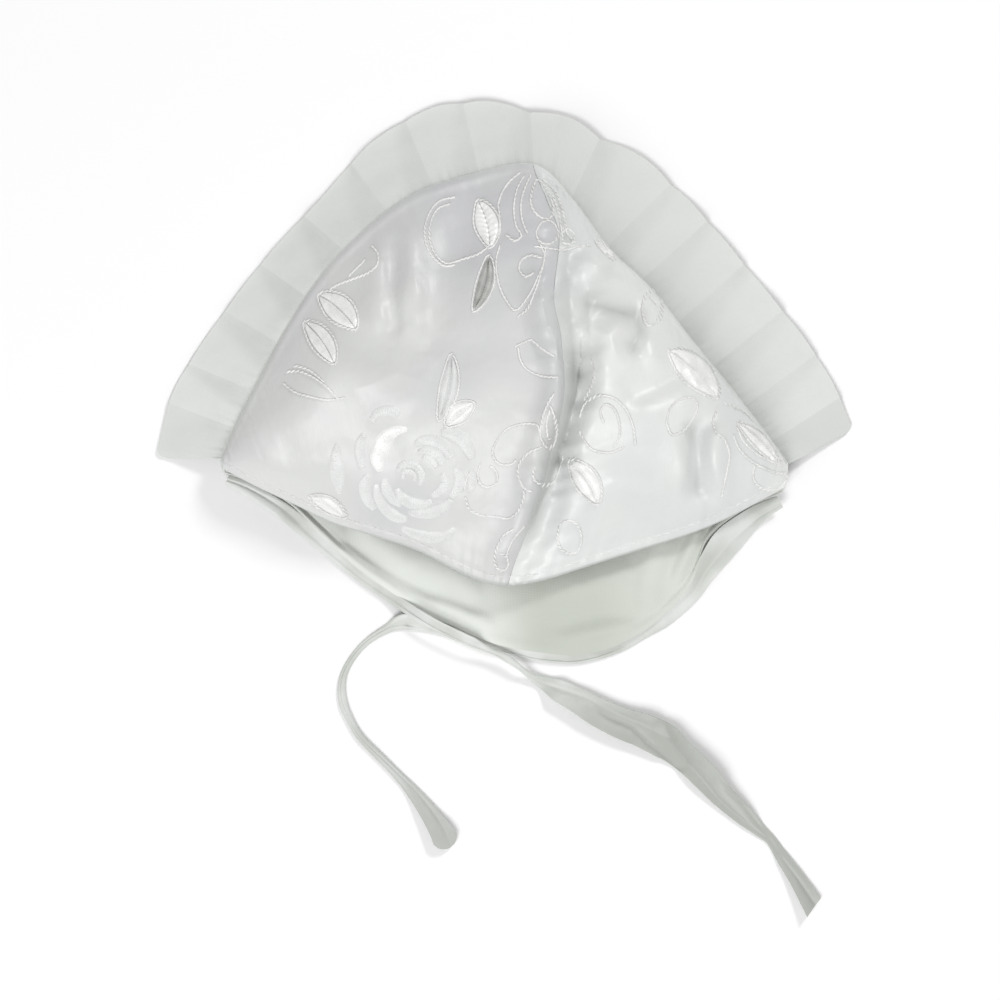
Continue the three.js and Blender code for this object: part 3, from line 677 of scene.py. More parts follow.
def dress(piece: bpy.types.Object, material: bpy.types.Material) -> None:
    """Gives a piece its material and its slot, and lets it ride on the bonnet.

    Args:
        piece: The piece.
        material: Its finish.
    """
    piece.data.materials.clear()
    piece.data.materials.append(material)
    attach(piece, "root")
    log.info("%s: %d faces", piece.name, len(piece.data.polygons))


class Drape:
    """The satin's upper side, on which embroidery and stitches lie."""

    def __init__(self, *cloths: bpy.types.Object) -> None:
        """Takes the finished cloths."""
        depsgraph = bpy.context.evaluated_depsgraph_get()
        self.trees = [BVHTree.FromObject(cloth, depsgraph) for cloth in cloths]

    def at(self, plan: np.ndarray) -> tuple[np.ndarray, np.ndarray]:
        """Finds the cloth under places on the plan.

        Args:
            plan: Rows of x and y in millimetres.

        Returns:
            The points in the frame and the cloth's normals there.
        """
        down = Vector((0, 0, -1))
        points, normals = [], []
        for x, y in plan:
            start = Vector(((x + SHIFT[0]) * MM, (y + SHIFT[1]) * MM, 0.2))
            hits = [tree.ray_cast(start, down) for tree in self.trees]
            hits = [hit for hit in hits if hit[0] is not None]
            if hits:
                best = max(hits, key=lambda hit: hit[0].z)
            else:
                start.z = 0.02
                near = [tree.find_nearest(start) for tree in self.trees]
                best = min(near, key=lambda hit: hit[3])
            normal = best[1] if best[1].z > 0 else -best[1]
            points.append(best[0])
            normals.append(normal)
        return np.array(points), np.array(normals)


class Route:
    """A smooth line through points, read by shares of its length."""

    def __init__(self, points: Sequence[Sequence[float]]) -> None:
        """Takes the points in millimetres."""
        table = np.array(points, dtype=float)
        dense = np.linspace(0, 1, 40 * len(table))
        self.line = np.stack([read_even(table[:, k], dense) for k in range(table.shape[1])], -1)
        steps = np.linalg.norm(np.diff(self.line[:, : min(3, table.shape[1])], axis=0), axis=1)
        self.marks = np.concatenate(((0,), np.cumsum(steps)))
        self.length = float(self.marks[-1])

    def at(self, share: np.ndarray) -> np.ndarray:
        """The points at shares of the length."""
        place = np.clip(share, 0, 1) * self.length
        return np.stack([np.interp(place, self.marks, column) for column in self.line.T], -1)

    def way(self, share: np.ndarray) -> np.ndarray:
        """The unit directions on the plan at shares of the length."""
        step = 0.6 / self.length
        way = (self.at(share + step) - self.at(share - step))[:, :2]
        return way / np.maximum(np.linalg.norm(way, axis=1), 1e-9)[:, None]


@dataclass(frozen=True)
class Stitch:
    """One stitch: a spindle of thread of so many millimetres."""

    length: float
    width: float
    height: float

    def spindle(self) -> tuple[np.ndarray, list[tuple[int, ...]]]:
        """Models the stitch once, along x.

        Returns:
            Its points in metres and its faces.
        """
        deselect()
        bpy.ops.mesh.primitive_uv_sphere_add(segments=6, ring_count=4, radius=0.5)
        ball = bpy.context.active_object
        points = np.array([vertex.co[:] for vertex in ball.data.vertices])[:, (2, 0, 1)]
        faces = [tuple(face.vertices) for face in ball.data.polygons]
        mesh = ball.data
        bpy.data.objects.remove(ball)
        bpy.data.meshes.remove(mesh)
        return points * np.array((self.length, self.width, self.height)) * MM, faces

    def lay(self, name: str, points: np.ndarray, ways: np.ndarray, normals: np.ndarray) -> bpy.types.Object:
        """Lays copies of the stitch.

        Args:
            name: The name of the piece they make.
            points: The middle of each stitch, in the frame.
            ways: Each stitch's direction on the plan.
            normals: The cloth's normals.

        Returns:
            The piece of all the stitches.
        """
        spindle, faces = self.spindle()
        along = np.column_stack((ways, np.zeros(len(ways))))
        along -= normals * (along * normals).sum(1)[:, None]
        along /= np.linalg.norm(along, axis=1)[:, None]
        side = np.cross(normals, along)
        basis = np.stack((along, side, normals), 1)
        placed = np.einsum("vk,nkx->nvx", spindle, basis) + points[:, None, :]
        count = len(spindle)
        all_faces = [tuple(i + n * count for i in face) for n in range(len(points)) for face in faces]
        mesh = bpy.data.meshes.new(name)
        mesh.from_pydata(placed.reshape(-1, 3).tolist(), [], all_faces)
        mesh.shade_smooth()
        piece = bpy.data.objects.new(name, mesh)
        bpy.context.scene.collection.objects.link(piece)
        return piece


def linear(colour: int) -> tuple[float, float, float, float]:
    """An sRGB hex colour as linear red, green, blue and alpha."""
    parts = [(colour >> shift & 255) / 255 for shift in (16, 8, 0)]
    red, green, blue = (c / 12.92 if c <= 0.04045 else ((c + 0.055) / 1.055) ** 2.4 for c in parts)
    return red, green, blue, 1.0


def add_node(tree: bpy.types.NodeTree, kind: str, settings: dict | None = None, **inputs: object) -> bpy.types.Node:
    """Adds a node with its settings and what goes into it.

    Args:
        tree: The node tree.
        kind: The node's type.
        settings: The node's own properties.
        inputs: Values or sockets, by input name with _ for spaces, or in_0, in_1 by place.

    Returns:
        The node.
    """
    node = tree.nodes.new(kind)
    for key, value in (settings or {}).items():
        setattr(node, key, value)
    for key, value in inputs.items():
        name = int(key[3:]) if key.startswith("in_") else key.replace("_", " ")
        socket = node.inputs[name]
        if isinstance(value, bpy.types.NodeSocket):
            tree.links.new(value, socket)
        else:
            socket.default_value = value
    return node


def blend_colours(tree: bpy.types.NodeTree, share: bpy.types.NodeSocket, low: int, high: int) -> bpy.types.NodeSocket:
    """A colour that goes from low to high with share.

    Args:
        tree: The node tree.
        share: What chooses between the two.
        low: The sRGB colour at 0.
        high: The sRGB colour at 1.

    Returns:
        The colour's socket.
    """
    node = add_node(tree, "ShaderNodeMix", {"data_type": "RGBA"}, in_0=share, in_6=linear(low), in_7=linear(high))
    return node.outputs[2]


@dataclass(frozen=True)
class Finish:
    """What all finishes of the bonnet share."""

    name: str
    colour: int
    shade: int
    roughness: float
    specular: float = 0.5
    sheen: float = 0.0
    coat: float = 0.0
    tone: int | None = None  # the colour where the piece's tone attribute is full: painted shade on the satin and lining, doubled cloth on the brim

    def build(self) -> bpy.types.Material:
        """Makes the material.

        Returns:
            The material with its nodes.
        """
        material = bpy.data.materials.new(self.name)
        material.use_nodes = True
        material.diffuse_color = linear(self.colour)
        tree = material.node_tree
        tree.nodes.clear()
        shader = add_node(
            tree,
            "ShaderNodeBsdfPrincipled",
            Roughness=self.roughness,
            Specular_IOR_Level=self.specular,
            Sheen_Weight=self.sheen,
            Sheen_Roughness=0.4,
            Coat_Weight=self.coat,
            Coat_Roughness=0.3,
        )
        output = add_node(tree, "ShaderNodeOutputMaterial", Surface=shader.outputs[0])
        output.is_active_output = True
        self.fill(tree, shader)
        if self.tone is not None:
            share = add_node(tree, "ShaderNodeAttribute", {"attribute_name": "tone"}).outputs["Fac"]
            base = shader.inputs["Base Color"].links[0].from_socket
            both = add_node(tree, "ShaderNodeMix", {"data_type": "RGBA"}, in_0=share, in_6=base, in_7=linear(self.tone))
            tree.links.new(both.outputs[2], shader.inputs["Base Color"])
        return material

    def fill(self, tree: bpy.types.NodeTree, shader: bpy.types.Node) -> None:
        """Adds what this finish alone has."""
        shader.inputs["Base Color"].default_value = linear(self.colour)

    def patches(self, tree: bpy.types.NodeTree, size: float, low: float = 0.4, high: float = 0.62) -> bpy.types.NodeSocket:
        """Soft patches over the piece.

        Args:
            tree: The node tree.
            size: Usual size of a patch in millimetres.
            low: Noise value where a patch begins.
            high: Noise value where it is full.

        Returns:
            Their share from 0 to 1.
        """
        place = add_node(tree, "ShaderNodeTexCoord").outputs["Object"]
        noise = add_node(tree, "ShaderNodeTexNoise", Vector=place, Scale=1000 / size, Detail=2.0)
        ranged = add_node(tree, "ShaderNodeMapRange", in_0=noise.outputs[0], in_1=low, in_2=high)
        return ranged.outputs[0]

    def threads(self, tree: bpy.types.NodeTree, pitch: float, length: float, turned: bool = False) -> bpy.types.NodeSocket:
        """Streaks along the threads of the cloth.

        Args:
            tree: The node tree.
            pitch: Distance between threads in millimetres.
            length: Length of a streak in millimetres.
            turned: Whether they run along u instead of v.

        Returns:
            Their height from 0 to 1.
        """
        scale = (1000 / length, 1000 / pitch, 1) if turned else (1000 / pitch, 1000 / length, 1)
        place = add_node(tree, "ShaderNodeUVMap", {"uv_map": "Cloth"}).outputs[0]
        mapping = add_node(tree, "ShaderNodeMapping", Vector=place, Scale=scale)
        noise = add_node(tree, "ShaderNodeTexNoise", Vector=mapping.outputs[0], Scale=1.0, Detail=1.0)
        return noise.outputs[0]

    def weave(self, tree: bpy.types.NodeTree, pitch: float) -> bpy.types.NodeSocket:
        """Over and under of a plain weave.

        Args:
            tree: The node tree.
            pitch: Distance between threads in millimetres.

        Returns:
            The weave's height from 0 to 1.
        """
        place = add_node(tree, "ShaderNodeUVMap", {"uv_map": "Cloth"}).outputs[0]
        mapping = add_node(tree, "ShaderNodeMapping", Vector=place, Scale=(1000 / pitch, 1000 / pitch, 1))
        waves = [
            add_node(
                tree,
                "ShaderNodeTexWave",
                {"wave_type": "BANDS", "bands_direction": way},
                Vector=mapping.outputs[0],
                Scale=0.314,
                Distortion=0.6,
                Detail=1.0,
            )
            for way in ("X", "Y")
        ]
        both = add_node(tree, "ShaderNodeMath", {"operation": "MAXIMUM"}, in_0=waves[0].outputs[1], in_1=waves[1].outputs[1])
        return both.outputs[0]

    def bump(self, tree: bpy.types.NodeTree, shader: bpy.types.Node, *heights: tuple[bpy.types.NodeSocket, float]) -> None:
        """Feeds heights to the shader's normal.

        Args:
            tree: The node tree.
            shader: The shader.
            heights: Pairs of a height from 0 to 1 and its depth in millimetres.
        """
        normal = None
        for height, depth in heights:
            extra = {} if normal is None else {"Normal": normal}
            node = add_node(tree, "ShaderNodeBump", Height=height, Distance=depth * MM, Strength=1.0, **extra)
            normal = node.outputs[0]
        tree.links.new(normal, shader.inputs["Normal"])


@dataclass(frozen=True)
class Satin(Finish):
    """Woven satin: long floats lie side by side, so light slides along them in soft sheets."""

    float_pitch: float = 0.7  # real floats are 0.1 mm apart; drawn coarse enough to show
    float_length: float = 9.0

    def fill(self, tree: bpy.types.NodeTree, shader: bpy.types.Node) -> None:
        """Adds cool and warm patches, streaks of floats and soft unevenness."""
        tree.links.new(blend_colours(tree, self.patches(tree, 55), self.colour, self.shade), shader.inputs["Base Color"])
        floats = self.threads(tree, self.float_pitch, self.float_length)
        gloss = add_node(tree, "ShaderNodeMapRange", in_0=floats, in_3=self.roughness - 0.05, in_4=self.roughness + 0.07)
        tree.links.new(gloss.outputs[0], shader.inputs["Roughness"])
        self.bump(tree, shader, (self.patches(tree, 9, 0.2, 0.8), 0.35), (floats, 0.05))


@dataclass(frozen=True)
class PlainCloth(Finish):
    """Plain-woven cotton: matt, with a fine even grain and faint creases."""

    thread_pitch: float = 0.9  # real threads are 0.3 mm apart; drawn coarse enough to show

    def fill(self, tree: bpy.types.NodeTree, shader: bpy.types.Node) -> None:
        """Adds soft patches, the weave and faint creases."""
        tree.links.new(blend_colours(tree, self.patches(tree, 40), self.colour, self.shade), shader.inputs["Base Color"])
        creases = self.patches(tree, 14, 0.3, 0.7)
        self.bump(tree, shader, (creases, 0.3), (self.weave(tree, self.thread_pitch), 0.03))


@dataclass(frozen=True)
class RibbonSatin(Finish):
    """Narrow woven satin ribbon: crosswise ribs and a firm selvedge at both edges."""

    rib_pitch: float = 0.8  # real ribs are 0.25 mm apart; drawn coarse enough to show
    # towards the free end the ribbon's colour turns to this grey, over the stretch below
    end_grey: int = 0xAFB2AC
    end_grey_from: float = 0.11  # metres along the ribbon
    end_grey_to: float = 0.165

    def fill(self, tree: bpy.types.NodeTree, shader: bpy.types.Node) -> None:
        """Adds the ribs, soft patches and the greyer length towards the free end."""
        mottled = blend_colours(tree, self.patches(tree, 18), self.colour, self.shade)
        place = add_node(tree, "ShaderNodeUVMap", {"uv_map": "Cloth"}).outputs[0]
        along = add_node(tree, "ShaderNodeSeparateXYZ", Vector=place).outputs[0]
        toward_end = add_node(tree, "ShaderNodeMapRange", in_0=along, in_1=self.end_grey_from, in_2=self.end_grey_to)
        node = add_node(
            tree, "ShaderNodeMix", {"data_type": "RGBA"}, in_0=toward_end.outputs[0], in_6=mottled, in_7=linear(self.end_grey)
        )
        tree.links.new(node.outputs[2], shader.inputs["Base Color"])
        ribs = self.threads(tree, self.rib_pitch, 5.0)
        self.bump(tree, shader, (self.patches(tree, 6, 0.2, 0.8), 0.2), (ribs, 0.05))


@dataclass(frozen=True)
class Thread(Finish):
    """Mercerised embroidery thread: glossy along its twist."""

    def fill(self, tree: bpy.types.NodeTree, shader: bpy.types.Node) -> None:
        """Adds fine strands and a slight change of colour."""
        tree.links.new(blend_colours(tree, self.patches(tree, 4), self.colour, self.shade), shader.inputs["Base Color"])
        self.bump(tree, shader, (self.patches(tree, 0.6, 0.3, 0.7), 0.05))


@dataclass(frozen=True)
class PaperSweep(Finish):
    """Matt white background paper."""


# The second tone of the satin is painted shade: the dark of a deep fold, where it mirrors only itself, and a thin dark
# line along the edge of the hem
CROWN_SATIN = Satin("woven_satin_white", 0xD6D7D5, 0xCBCBCD, 0.42, specular=0.5, sheen=0.15, coat=0.06, tone=0xB6B8B6)
# The right panel is a lighter copy of the same satin, painted sheen: read as cut across the floats, so that it throws
# more light upwards
SATIN_PAINTED_LIGHTER = Satin("woven_satin_white_painted_lighter", 0xE9EAE7, 0xDDDFDE, 0.4, sheen=0.2, coat=0.06, tone=0xB6B8B6)
UNDER_SATIN = Satin("woven_satin_under_layer", 0xE2E3E1, 0xDADBD9, 0.42, specular=0.45, sheen=0.2)
# The second tone of the lining is painted shade: its greener lower edge, which turns away from the light
LINING_COTTON = PlainCloth("plain_cotton_lining", 0xE5E8E3, 0xDDE0DA, 0.85, specular=0.25, sheen=0.1, tone=0xC4C8BF)
# The second tone of the brim is where the thin cloth lies double in a pleat
BRIM_COTTON = PlainCloth("pressed_cotton_brim", 0xD6D8D5, 0xD1D3D0, 0.8, specular=0.25, sheen=0.1, tone=0xDADCD9)
TIE_RIBBON = RibbonSatin("satin_ribbon", 0xDBDDDA, 0xC8CBC5, 0.45, specular=0.45, sheen=0.15)
TIE_RIBBON_RIGHT = replace(TIE_RIBBON, name="satin_ribbon_right", end_grey=0xB8BAB6, end_grey_from=0.185, end_grey_to=0.245)
# One white thread in four painted tones: painted sheen where it catches the light, dimmer painted sheen on outlines,
# stitches and petals, painted shade where it turns away
THREAD_PAINTED_SHEEN = Thread("embroidery_thread", 0xF8F8F7, 0xEDEDEC, 0.3, specular=0.6, coat=0.3)
THREAD_PAINTED_SOFT_SHEEN = Thread("embroidery_thread_painted_soft_sheen", 0xEEEEEC, 0xE3E3E1, 0.36, specular=0.5, coat=0.2)
THREAD_PAINTED_DIM_SHEEN = Thread("embroidery_thread_painted_dim_sheen", 0xE3E4E3, 0xDDDEDD, 0.4, specular=0.5, coat=0.15)
THREAD_PAINTED_SHADE = Thread("embroidery_thread_painted_shade", 0xB9B9B6, 0xABABA8, 0.35, specular=0.5)
FLOOR_PAPER = PaperSweep("background_paper", 0xF7F7F7, 0xF7F7F7, 0.95, specular=0.1)


@dataclass(frozen=True)
class Studio:
    """Camera straight above, a pale floor and soft lights."""

    view_width: float = 0.350  # what the photograph's frame takes in at the bonnet
    centre: tuple[float, float] = (-0.00152, -0.04277)
    lens: float = 200.0
    focus_height: float = 0.008

    def camera(self) -> None:
        """Sets the camera above the bonnet, with +Y up in the picture."""
        data = bpy.data.cameras.new("camera")
        data.lens = self.lens
        data.sensor_width = 36.0
        camera = bpy.data.objects.new("camera", data)
        distance = self.view_width * self.lens / 36.0
        camera.location = (*self.centre, self.focus_height + distance)
        bpy.context.scene.collection.objects.link(camera)
        bpy.context.scene.camera = camera

    def floor(self) -> None:
        """Lays the pale floor."""
        deselect()
        bpy.ops.mesh.primitive_plane_add(size=8.0, location=(0, 0, 0))
        floor = bpy.context.active_object
        floor.name = "floor"
        floor.data.materials.append(FLOOR_PAPER.build())

    def light(self, name: str, place: tuple[float, float, float], size: float, power: float) -> None:
        """Sets a square soft light that faces the bonnet.

        Args:
            name: The light's name.
            place: Where it stands.
            size: Its side in metres.
            power: Its power in watts.
        """
        data = bpy.data.lights.new(name, "AREA")
        data.size = size
        data.energy = power
        lamp = bpy.data.objects.new(name, data)
        lamp.location = place
        lamp.rotation_euler = (-Vector(place)).to_track_quat("-Z", "Y").to_euler()
        bpy.context.scene.collection.objects.link(lamp)

    def lights(self) -> None:
        """Sets a wide window from below in the picture, a lamp from the upper right and the sky."""
        self.light("window_light", (-0.55, -1.25, 1.45), 1.1, 24.0)
        self.light("lamp_light", (0.95, 1.15, 1.2), 0.32, 14.0)
        world = bpy.data.worlds.new("soft_room")
        world.use_nodes = True
        sky = world.node_tree.nodes["Background"]
        sky.inputs["Color"].default_value = linear(0xF9FAF9)
        sky.inputs["Strength"].default_value = 0.455
        bpy.context.scene.world = world
        bpy.context.scene.view_settings.view_transform = "Standard"

    def build(self) -> None:
        """Makes the camera, the floor and the lights."""
        self.camera()
        self.floor()
        self.lights()


class TieEnd(Enum):
    """How the free end of a tie is cut."""

    SLANTED = "slanted"
    ROUNDED = "rounded"


@dataclass(frozen=True)
class Tie:
    """A ribbon tie that runs from a corner of the mouth along its route."""

    name: str
    node: str
    route: np.ndarray
    end: TieEnd
    ribbon_width: float = 12.0
    ribbon_wall: float = 1.0
    bunch: float = 2.6  # the solid's extra height where the ribbon is bunched
    depth: float = 0.4
    roll: float = 1.5  # height of the roll where the ribbon is bunched
    valley: float = 1.6  # height of its edges over the lengthwise fold where it is open
    turn: float = 0.0  # where the fold begins to wander from side to side
    lap_side: int = 1  # the side of the ribbon next to the bonnet
    lap_from: float = 0.04  # along this stretch the ribbon's side lies up on the lining's edge
    lap_to: float = 0.34
    lap_rise: float = 2.4
    lean: float = 1.2  # how far one side rises over the other as the open ribbon turns
    creases: Sequence = ()
    steps: int = 300
    across: int = 24

    def line(self, share: np.ndarray) -> tuple[np.ndarray, np.ndarray]:
        """The ribbon's line and its spread.

        Args:
            share: Shares of the table's length.

        Returns:
            The points under the ribbon's middle and the spread, from 0 for bunched to 1 for flat.
        """
        x, y, z, spread = (read_even(self.route[:, k], share) for k in range(4))
        spread = np.clip(spread, 0.14, 1)
        under = z - (self.ribbon_wall + self.bunch * (1 - spread)) / 2
        return np.column_stack((x, y, np.maximum(under - 0.3, 0.05) + self.depth)), spread

    def place(self, u: np.ndarray, v: np.ndarray) -> np.ndarray:
        """Points of the ribbon: rolled where it is narrow, folded lengthwise where it is open.

        Args:
            u: Shares along the ribbon.
            v: Shares across it.

        Returns:
            The points in the frame.
        """
        points, spread = self.line(u)
        step = 0.004
        way = (self.line(np.clip(u + step, 0, 1))[0] - self.line(np.clip(u - step, 0, 1))[0])[:, :2]
        way /= np.linalg.norm(way, axis=1)[:, None]
        across = 2 * v - 1
        side = np.column_stack((-way[:, 1], way[:, 0]))
        lap = fade((u - self.lap_from) / 0.05) * fade((self.lap_to - u) / 0.05) * fade(across * self.lap_side)
        reach = across * spread * self.ribbon_width / 2 + 1.5 * lap * self.lap_side
        points[:, :2] += side * reach[:, None]
        roll = self.roll * (1 - spread) ** 1.2 * (1 - 0.95 * across**2) ** 0.7
        crease = 0.45 * np.sin(2 * math.pi * (2.1 * u + self.turn))
        valley = self.valley * fade((spread - 0.3) / 0.35) * np.abs(across - crease)
        groove = self.roll * 0.35 * (1 - spread) * np.exp(-(((across - crease) / 0.22) ** 2))
        lean = self.lean * np.sin(2 * math.pi * (1.7 * u + self.turn)) * across * fade((spread - 0.3) / 0.35)
        points[:, 2] += roll + valley - groove + np.maximum(lean, -0.5 * self.lean) + self.lap_rise * lap
        points[:, 2] += crease_height(points[:, 0], points[:, 1], self.creases) + 0.8 * fade((spread - 0.5) / 0.3)
        near_end = fade((u - 0.94) / 0.06)
        if self.end is TieEnd.SLANTED:
            trim = -1.5 * across
        else:
            trim = -4.5 * (1 - np.sqrt(1 - 0.96 * across**2))
        points[:, :2] += way * (trim * near_end)[:, None]
        points[:, 2] = np.maximum(points[:, 2], self.depth)
        return to_frame(points)

    def build(self, material: bpy.types.Material) -> bpy.types.Object:
        """Args:
            material: Its finish.

        Returns:
            The ribbon.
        """
        piece = grid_piece(self.name, self.steps, self.across, self.place)
        thicken(piece, self.depth)
        dress(piece, material)
        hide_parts(self.node)
        path, spread = self.line(np.linspace(0, 1, 90))
        path[:, 2] += self.roll * (1 - spread) ** 1.2 / 2
        path = to_frame(path)
        return piece


@dataclass(frozen=True)
class Cut:
    """The flat size a cloth was cut to, in metres, and its flat area."""

    width: float
    length: float
    area: float


@dataclass
class Crown:
    """The two satin panels of the crown, their hem and their stitches."""

    form: BonnetForm
    depth: float = 0.9
    hem_depth: float = 3.2
    # share of the way from the hem over which its edge is darkened as painted shade
    hem_painted_shade: float = 0.012
    columns: int = 150
    rows: int = 190
    left_cut: Cut = Cut(0.130, 0.150, 0.0160)
    right_cut: Cut = Cut(0.120, 0.150, 0.0115)
    panels: list[bpy.types.Object] = field(default_factory=list)

    def relief(self, u: np.ndarray, v: np.ndarray, points: np.ndarray) -> np.ndarray:
        """Small shapes of the satin: gathers at the seams, the turned hem and its stitch line.

        Args:
            u: Shares of the way from the left corner to the right one.
            v: Shares of the way from the hem to the arc seam.
            points: The wall's middle.

        Returns:
            Heights in millimetres.
        """
        form = self.form
        reach = np.linalg.norm(form.arc(u) - form.hem(u), axis=1)
        drop, to_arc = v * reach, (1 - v) * reach
        seam_x = form.crown(np.full_like(v, form.seam_at), v)[:, 0]
        to_seam = np.abs(points[:, 0] - seam_x)
        x, y = points[:, 0], points[:, 1]
        side = np.where(u < form.seam_at, 1.0, 2.0)
        free = fade(drop / 6) * fade(to_arc / 6) * fade((1 - form.towards_corner(u)) / 0.2)
        height = 0.75 * soft_noise(x, y, 24, 2.0) * free
        height += crease_height(x, y, CREASES) * free
        height += 0.8 * side * ripple(drop, 9.5, 0.7) * np.exp(-to_seam / 7) * fade(to_seam / 3)
        height += 0.5 * ripple(u * 330, 7.5, 1.9) * np.exp(-to_arc / 9) * fade(to_arc / 3)
        height += 0.3 * ripple(u * 215, 6.5, 3.1) * np.exp(-drop / 6)
        height += 0.5 * (1 - fade((drop - self.hem_depth) / 0.8))
        height -= 0.35 * np.exp(-(((drop - self.hem_depth) / 0.55) ** 2))
        height += 0.7 * np.exp(-(((to_arc - 1.9) / 1.3) ** 2))
        height -= 0.5 * np.exp(-((to_seam / 0.9) ** 2))
        height -= 0.5 * (1 - fade(drop / 0.6)) + 0.9 * (1 - fade(to_arc / 1.4))
        return height

    def place(self, u: np.ndarray, v: np.ndarray, side: int) -> np.ndarray:
        """Points of the satin's upper side.

        Args:
            u: Shares of the way from the left corner to the right one.
            v: Shares of the way from the hem to the arc seam.
            side: -1 for the left panel and 1 for the right one.

        Returns:
            The points in the frame.
        """
        points = self.form.crown(u, v)
        points[:, 2] += self.form.satin_wall / 2 + self.relief(u, v, points)
        points[:, 0] += np.where(np.abs(u - self.form.seam_at) < 1e-6, side * 0.06, 0)
        return to_frame(points)

    def painted_fold_shade(self, u: np.ndarray, v: np.ndarray) -> np.ndarray:
        """Share of painted shade in the satin's colour, in its folds and along the edge of the hem, where it turns from
        the light.

        Args:
            u: Shares of the way from the left corner to the right one.
            v: Shares of the way from the hem to the arc seam.

        Returns:
            Shares from 0 to 1.
        """
        x, y = self.form.crown(u, v)[:, :2].T
        return np.clip(crease_height(x, y, PAINTED_FOLD_SHADE), 1 - fade(v / self.hem_painted_shade), 1)

    def panel(self, name: str, node: str, start: float, end: float, side: int, cut: Cut) -> None:
        """Makes one panel.

        Args:
            name: The piece's name.
            node: The CAD node that it replaces.
            start: Where it starts on the way round.
            end: Where it ends.
            side: -1 for the left panel and 1 for the right one.
            cut: Its flat size; not used.
        """
        piece = grid_piece(
            name,
            self.columns,
            self.rows,
            lambda u, v: self.place(mix(start, end, u), v, side),
            lambda u, v: self.painted_fold_shade(mix(start, end, u), v),
        )
        thicken(piece, self.depth)
        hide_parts(node)
        self.panels.append(piece)

    def stitches(self) -> bpy.types.Object:
        """Lays the stitches of the hem.

        Returns:
            The piece of all the stitches.
        """
        drape = Drape(*self.panels)
        hem = self.form.hem(np.linspace(0.02, 0.98, 200))
        inner = self.form.crown(np.linspace(0.02, 0.98, 200), np.full(200, 0.04))[:, :2]
        way = inner - hem
        line = Route(hem + way / np.linalg.norm(way, axis=1)[:, None] * self.hem_depth)
        share = np.arange(0.5, line.length / 3.0) * 3.0 / line.length
        plan = line.at(share)
        points, normals = drape.at(plan)
        return Stitch(2.3, 0.5, 0.4).lay("hem_stitches", points, line.way(share), normals)

    def build(self) -> None:
        """Makes the panels and the stitches, and dresses them."""
        seam = self.form.seam_at
        self.panel("satin_panel_left", "crown_left", 0.0, seam, -1, self.left_cut)
        self.panel("satin_panel_right", "crown_right", seam, 1.0, 1, self.right_cut)
        for panel, finish in zip(self.panels, (CROWN_SATIN, SATIN_PAINTED_LIGHTER)):
            dress(panel, finish.build())
        dress(self.stitches(), THREAD_PAINTED_SOFT_SHEEN.build())


@dataclass(frozen=True)
class Layers:
    """The satin under layer and the cotton lining that lies on it."""

    form: BonnetForm
    columns: int = 200
    rows: int = 110
    under_cut: Cut = Cut(0.205, 0.180, 0.0255)
    lining_cut: Cut = Cut(0.205, 0.180, 0.0255)

    def under_place(self, u: np.ndarray, v: np.ndarray) -> np.ndarray:
        """Points of the under layer's upper side."""
        points = self.form.under(u, v)
        points[:, 2] += self.form.satin_wall / 2
        return to_frame(points)

    def lining_place(self, u: np.ndarray, v: np.ndarray) -> np.ndarray:
        """Points of the lining's upper side.

        Args:
            u: Shares of the way from the left corner to the right one.
            v: Shares of the way from the lower edge to the arc seam.

        Returns:
            The points in the frame.
        """
        points = self.form.lining(u, v)
        reach = np.linalg.norm(self.form.arc(u) - self.form.low(u), axis=1)
        edge = v * reach
        x, y = points[:, 0], points[:, 1]
        loose = fade((1 - v) / 0.3) * fade((1 - self.form.towards_corner(u)) / 0.2)
        height = 0.5 * (1 + soft_noise(x, y, 30, 4.0)) * fade(edge / 12) * loose
        height += 0.5 * np.exp(-(((edge - 1.6) / 1.2) ** 2))
        height -= 0.3 * np.exp(-(((edge - 4.0) / 0.6) ** 2)) * loose
        points[:, 2] += self.form.lining_wall / 2 + height
        return to_frame(points)

    def painted_edge_shade(self, u: np.ndarray, v: np.ndarray) -> np.ndarray:
        """Share of painted shade on the lining: greener and darker along its lower edge, from the middle to the right,
        where it turns away from the light.

        Args:
            u: Shares of the way from the left corner to the right one.
            v: Shares of the way from the lower edge to the arc seam.

        Returns:
            Shares from 0 to 1.
        """
        x = self.form.lining(u, v)[:, 0]
        return fade((x + 8) / 22) * (1 - 0.5 * fade((x - 30) / 25)) * (1 - fade((v - 0.08) / 0.35))

    def build(self) -> None:
        """Makes both layers, and dresses them."""
        under = grid_piece("satin_under_layer", self.columns, self.rows, self.under_place)
        thicken(under, self.form.satin_wall)
        dress(under, UNDER_SATIN.build())
        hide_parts("crown_under")
        lining = grid_piece("cotton_lining", self.columns, self.rows, self.lining_place, self.painted_edge_shade)
        thicken(lining, 0.7)
        dress(lining, LINING_COTTON.build())
        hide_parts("lining")


